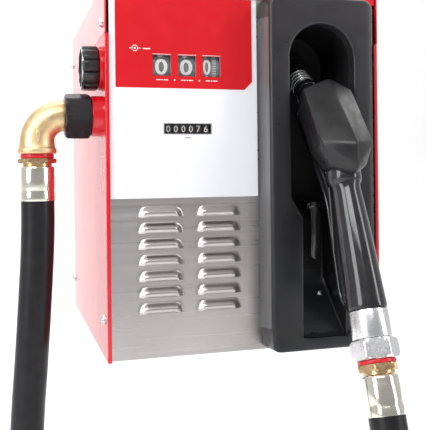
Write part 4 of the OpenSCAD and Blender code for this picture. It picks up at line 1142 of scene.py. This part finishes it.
def elbow_wall():
    line, radii = [], []
    for x, r in ((-199, 12.4), (-199, 15.9), (-199.8, 16.5), (-206, 16.5), (-211, 16.9), (-213, 17.6)):
        line.append(Vector((x, outlet_y, outlet_z)))
        radii.append(r)
    for k in range(1, 24):
        turn = math.pi / 2 * k / 24
        line.append(Vector((-213 - 30 * math.sin(turn), -348, 33.5 + 30 * math.cos(turn))))
        radii.append(18.4 + 0.9 * (k / 24) ** 3 - 0.5 * (1 - k / 24))
    for z, r in ((33.5, 19.5), (28.6, 19.8), (27.2, 20.4), (26.2, 21.3), (25.2, 21.6), (21.6, 21.6), (20.7, 21.2),
                 (20.3, 20.4), (20.3, 13.9)):
        line.append(Vector((outlet_x, outlet_y, z)))
        radii.append(r)
    rings = []
    for i, (point, r) in enumerate(zip(line, radii)):
        if point.x > -213:
            along = Vector((-1, 0, 0))
        elif point.z <= 33.5:
            along = Vector((0, 0, -1))
        else:
            turn = math.atan2(-(point.x + 213), point.z - 33.5)
            along = Vector((-math.cos(turn), 0, -math.sin(turn)))
        side = Vector((0, 1, 0))
        up = along.cross(side)
        rings.append([point + r * (math.cos(2 * math.pi * k / 48) * side + math.sin(2 * math.pi * k / 48) * up) for k in range(48)])
    inside = []
    for k in range(9):
        turn = math.pi / 2 * (1 - k / 8)
        point = Vector((-213 - 30 * math.sin(turn), -348, 33.5 + 30 * math.cos(turn)))
        along = Vector((-math.cos(turn), 0, -math.sin(turn)))
        up = along.cross(Vector((0, 1, 0)))
        inside.append([point + 12.3 * (math.cos(2 * math.pi * j / 48) * Vector((0, 1,
                0)) + math.sin(2 * math.pi * j / 48) * up) for j in range(48)])
    rings += inside + [rings[0]]
    return skin(rings, ends=(False, False))


piece("outlet_elbow_cast", elbow_wall(), cast_brass, nodes=("outlet_elbow",), sharp=50)
piece("outlet_elbow_pad",
      placed(turned([(0.1, 17.6), (2.6, 19.9), (2.6, 20.4), (2.0, 20.9), (0.1, 20.9)], (0, 0, 0), (0, -1, 0), 24),
            Matrix.Translation((outlet_x, outlet_y, 40)) @ Matrix.Diagonal((0.9, 1, 2.3,
                    1))), cast_brass, sharp=50)

# ---- Hose tails, seals and ferrules ----
# A red sealing ring, a brass tail with a thin hexagon, and a rolled steel ferrule
# with a yellow passivate join the hose to the elbow and to the nozzle's swivel.
seal_red = Finish("sealing_ring_red", (0.62, 0.012, 0.022), 0.3, Specular_IOR_Level=0.5)
seal_red.mottled(4, 4, (0.52, 0.01, 0.018), (0.70, 0.016, 0.03))
seal_red.grained(0.8, 3, 0.05, 0.5)
bright_brass = Finish("machined_brass", (0.72, 0.50, 0.26), 0.24, 1.0)
bright_brass.mottled(5, 5, (0.60, 0.38, 0.20), (0.80, 0.60, 0.34), 0.3, 0.75)
bright_brass.worn(0.2, 0.2, 3, 5)
bright_brass.grained(0.5, 3, 0.01, 0.4)
ferrule_steel = Finish("ferrule_passivated", (0.92, 0.89, 0.78), 0.2, 1.0)
ferrule_steel.mottled(16, 4, (0.90, 0.85, 0.70), (0.95, 0.93, 0.86))
ferrule_steel.worn(0.12, 0.05, 4, 5, 0.35, 0.75)
ferrule_steel.grained(0.7, 2, 0.002, 0.3, stretch=(1, 1, 0.2))


def crimped(radius, along, angle):
    """Eight jaws of the press leave faint flats."""
    return radius - (0.22 * (0.5 - 0.5 * math.cos(8 * angle)) if radius > 18 else 0)


def fitted(name, profile, at, axis, finish, body, node, sides=64, section=None, sharp=35):
    return piece(name, turned(profile, at, axis, sides, section, close=False), finish, body, (node,), sharp)


seal_profile = [(13.9, 15), (17.2, 15), (18.4, 15.7), (18.7, 17.2), (18.4, 19.4), (17.6, 20.2), (13.9, 20.2)]
fitted("elbow_seal_ring", seal_profile, (outlet_x, outlet_y, 0), (0, 0, 1), seal_red, "cabinet",
       "elbow_seal")
ferrule_profile = [(12.2, 0), (16.2, 0), (17.6, 0.6), (18.6, 1.8), (18.9, 3.4), (18.7, 8), (18.9, 9), (18.9, 26),
                   (18.6, 27), (18.6, 30), (18.9, 31), (18.9, 38), (18.6, 39.2), (18.2, 39.3), (18.5, 38), (12.2, 38)]
fitted("ferrule_outlet_rolled", ferrule_profile, (outlet_x, outlet_y, 6.7), (0, 0, -1), ferrule_steel, "cabinet",
       "ferrule_outlet", 96, crimped, 28)
tail_profile = [(9.5, -35), (12, -35), (12, -2.8), (16, -2.8), (16, 0), (19.8, 0), (20.9, 0.9), (21.6, 1.4), (21.6,
        3.9), (20.9, 4.4), (19.8, 5.3), (13.7, 5.3), (13.7, 12.3), (9.5, 12.3)]
fitted("hose_tail_outlet_brass", tail_profile, (outlet_x, outlet_y, 9.6), (0, 0, 1), bright_brass, "cabinet",
       "hose_tail_outlet", 96, hexagon(21.6, 0.0), 24)

# ---- Nozzle body ----
# Cast aluminium under gloss black enamel: a handle that tapers to a shoulder, a
# trunk along the spout's axis, and two lugs for the trigger's pin.
nozzle_black = Finish("nozzle_gloss_enamel", (0.012, 0.012, 0.014), 0.14, Specular_IOR_Level=0.5, Coat_Weight=0.5,
                      Coat_Roughness=0.05)
nozzle_black.mottled(20, 4, (0.009, 0.009, 0.011), (0.018, 0.018, 0.021))
nozzle_black.worn(0.12, 0.14, 12, 5, 0.4, 0.75)
nozzle_black.bump(nozzle_black.noise(26, 1) + 0.02 * nozzle_black.noise(1.5, 2), 0.08, 0.3)
handle_end = Vector((boot_x, -514.5, -147))
trigger_pin = (boot_x, -388, 50)
handle_dir = Vector((0, math.sin(math.radians(20.5)), math.cos(math.radians(20.5))))
handle_profile = [(9.9, 0.05), (18.6, 0.05), (19.9, 0.7), (20.6, 2.4), (20.8, 6), (20.3, 30), (19.6, 60), (18.6,
        90), (17.4, 115), (16.6, 128), (16.4, 133),
                  (17.0, 136.6), (18.6, 139.0), (19.6, 141.4), (20.0, 145), (20.0, 152), (8, 152)]


def hand_shape(radius, along, angle):
    """The handle is a little deeper than it is wide."""
    return radius * (1 + 0.035 * math.cos(2 * angle)) if radius > 12 and along > 12 else radius


handle = turned(handle_profile, handle_end, handle_dir, 72, hand_shape)
trunk = turned([(8, -70), (12, -84), (20, -80), (24, -70), (24.2, -60), (23, -40), (23, -4), (22.4, -1), (20.5,
        0.4), (15.4, 1.2), (14.8, 2), (14.8, 27.4), (12.8, 27.8), (12.8, -28)],
               spout_socket, sleeve_dir, 64, close=False)
knuckle = turned([(0.3, -20), (9, -18), (14.5, -13.5), (18.4, -8), (19.8, 0), (18.4, 8), (14.5, 13.5), (9, 18),
                  (0.3, 20)], (boot_x, -464, 8), handle_dir, 48)
trigger_lugs = together(*[turned([(5.4, 0), (6.2, 0.5), (6.2, 3.3), (5.4, 3.8)], (boot_x + s * 9.5 - 1.9, -388,
        50), (1, 0, 0), 32) for s in (-1, 1)],
                        *[brick((boot_x + s * 9.5 - 1.7, -394, 50), (boot_x + s * 9.5 + 1.7, -382,
                                                                     57)) for s in (-1, 1)],
                        turned([(2.1, -12.4), (2.5, -12), (2.5, 12), (2.1, 12.4)], trigger_pin, (1, 0, 0), 20))
piece("nozzle_casting", together(handle, trunk, knuckle, trigger_lugs), nozzle_black, "nozzle",
      ("nozzle_body",), 38)

# ---- Nozzle cover ----
# Tough black vinyl moulding over the head, pressed on: two long flat faces that
# meet in a ridge, and two short ones below that run in to the handle.
cover_vinyl = Finish("cover_vinyl", (0.012, 0.012, 0.013), 0.28, Specular_IOR_Level=0.5)
cover_vinyl.mottled(26, 4, (0.008, 0.008, 0.009), (0.016, 0.015, 0.017))
cover_vinyl.worn(0.24, 0.18, 14, 5)
cover_vinyl.bump(cover_vinyl.noise(1.1, 3) + 2.0 * cover_vinyl.noise(30, 2), 0.04, 0.5)
cover_corners = [(0, -430, 104.5), (0, -484.5, 42)]
for side in (-1, 1):
    cover_corners += [(31 * side, -425, 92), (31 * side, -475, 29), (25 * side, -404, 84), (27 * side, -398, 70),
                      (27 * side, -436, 18), (22 * side, -476, 4), (20 * side, -458, -4), (13 * side, -410, 93)]
cover_corners += [(0, -497, 27), (0, -498, 2), (0, -492, -6)]
cover_mesh = bpy.data.meshes.new("nozzle_cover_moulding")
work = bmesh.new()
for x, y, z in cover_corners:
    work.verts.new((0.001 * (boot_x + x), 0.001 * y, 0.001 * z))
hull = bmesh.ops.convex_hull(work, input=work.verts)
bmesh.ops.delete(work,
                 geom=[v for v in hull["geom_unused"] + hull["geom_interior"] if isinstance(v,
        bmesh.types.BMVert)], context="VERTS")
bmesh.ops.dissolve_limit(work, angle_limit=math.radians(2), verts=work.verts, edges=work.edges)
bmesh.ops.recalc_face_normals(work, faces=work.faces)
work.to_mesh(cover_mesh)
work.free()
cover = bpy.data.objects.new("nozzle_cover_moulding", cover_mesh)
bpy.context.scene.collection.objects.link(cover)
dress(cover, cover_vinyl, "nozzle", ("nozzle_cover",), 60)
rounded_edges(cover, 2.2, 4, 12)

# ---- Trigger guard and trigger ----
# A flat cast strap that loops from the spout's socket down to the handle, and the
# long curved trigger inside it, both gloss black.
def strap(knots, width, thick, step=5):
    """A rounded strap that follows points in the nozzle's middle plane."""
    line = smooth_line([(boot_x, y, z) for y, z in knots], step)
    rings = []
    for i, point in enumerate(line):
        along = (line[min(i + 1, len(line) - 1)] - line[max(i - 1, 0)]).normalized()
        across = Vector((1, 0, 0))
        out = along.cross(across)
        ring = []
        for k in range(20):
            turn = 2 * math.pi * k / 20
            c, s = math.cos(turn), math.sin(turn)
            ring.append(point + across * (width / 2 * math.copysign(abs(c) ** 0.55,
                                                                    c)) + out * (thick / 2 * math.copysign(abs(s) ** 0.75, s)))
        rings.append(ring)
    return skin(rings)


guard_knots = [(-360, 80), (-350, 77), (-342, 69), (-349, 58), (-369, 35), (-392, 8), (-410, -14), (-425, -37),
               (-434, -60),
               (-440, -82), (-450, -114), (-459, -141), (-468, -149.5), (-480, -151), (-495, -150)]
piece("trigger_guard_cast", together(strap(guard_knots, 9.4, 5),
                                     turned([(13.0, 28), (15.6, 28), (16.2, 28.7), (16.2, 36.3), (15.6, 37), (13.0,
        37)],
              spout_socket, sleeve_dir, 48, close=False)), nozzle_black, "nozzle", ("trigger_guard",), 40)
trigger_knots = [(-388, 50), (-406, 29), (-424, 8), (-434, -12), (-440, -30), (-445, -62), (-449, -92)]
piece("trigger_lever", together(strap(trigger_knots, 14, 4.6), turned([(2.6, -7), (5.2, -7), (5.2, 7), (2.6, 7)],
                                                                      trigger_pin, (1, 0, 0), 32, close=False)),
                gloss_black, "trigger", ("trigger",), 40)

# ---- Spout and its rings ----
# Steel tube with a slanted mouth, and a wound spring that grips a tank's neck.
piece("spout_tube", turned([(10.5, -29), (12.5, -29), (12.5, 183), (12.2, 186), (11, 187), (10.5, 186)],
                           spout_socket, sleeve_dir, 48, close=False),
              ground_steel, "nozzle", ("spout",), 40)
ring_line = [spout_socket + sleeve_dir * 45 + 14.2 * (math.cos(a) * Vector((1, 0,
        0)) + math.sin(a) * sleeve_dir.cross(Vector((1, 0, 0))))
             for a in [2 * math.pi * k / 40 for k in range(40)]]
ring_rings = []
for k, point in enumerate(ring_line):
    out = (point - spout_socket - sleeve_dir * 45).normalized()
    ring_rings.append([point + 1.5 * (math.cos(2 * math.pi * j / 12) * out + math.sin(2 * math.pi * j / 12) * sleeve_dir) for j in range(12)])
spring = repeated("spout_spring_rings", skin(ring_rings + [ring_rings[0]], ends=(False, False)), zinc,
                  Columns=4, Column_Step=tuple(sleeve_dir * 6))
dress(spring, zinc, "nozzle", ("spout_spring",), 60)

# ---- Swivel ----
# Bright-plated collar on the handle, a big hexagon that turns with the hose, a
# red ring, the second brass tail and its ferrule.
bright_plate = Finish("bright_plated_steel", (0.93, 0.93, 0.95), 0.26, 1.0)
bright_plate.mottled(12, 4, (0.88, 0.88, 0.90), (0.95, 0.95, 0.97))
bright_plate.worn(0.24, 0.06, 4, 5, 0.35, 0.75)
bright_plate.grained(0.6, 2, 0.003, 0.3)
fitted("swivel_collar_plated", [(10.06, -0.1), (19.2, -0.1), (20.3, -0.8), (20.5, -2), (20.5, -27.4), (20.1,
        -28.5), (19.2, -29), (10.06, -29)],
       handle_end, handle_dir, bright_plate, "nozzle", "swivel_collar", 64, None, 35)
fitted("swivel_hexagon", [(7, 28), (9.9, 29), (9.9, -29.4), (21.4, -29.4), (23.2, -30.4), (24.6, -32), (24.9, -34),
                          (24.9, -45), (24.4, -47.2), (22.6, -48.9), (21.4, -49.5), (14, -49.5), (14, -42), (7, -42)],
       handle_end, handle_dir, bright_plate, "swivel", "swivel_hex", 180, hexagon(25.4, math.radians(10)), 24)
fitted("swivel_ring_red", [(13.9, -54), (18.6, -54), (19.5, -53.2), (19.8, -51.6), (19.4, -50.2), (18.6, -49.6),
                           (13.9, -49.6)],
       handle_end, handle_dir, seal_red, "swivel", "swivel_ring", 48)
fitted("hose_tail_nozzle_brass", [(r, a * (6.9 / 5.3) - 61 if a > 0 else a - 61) for r, a in tail_profile],
       handle_end, handle_dir, bright_brass, "swivel", "hose_tail_nozzle", 96, hexagon(21.6,
               math.radians(25)), 24)
fitted("ferrule_nozzle_rolled", [(r, -a - 64.6) for r, a in ferrule_profile], handle_end, handle_dir,
       ferrule_steel, "swivel", "ferrule_nozzle", 96, crimped, 28)
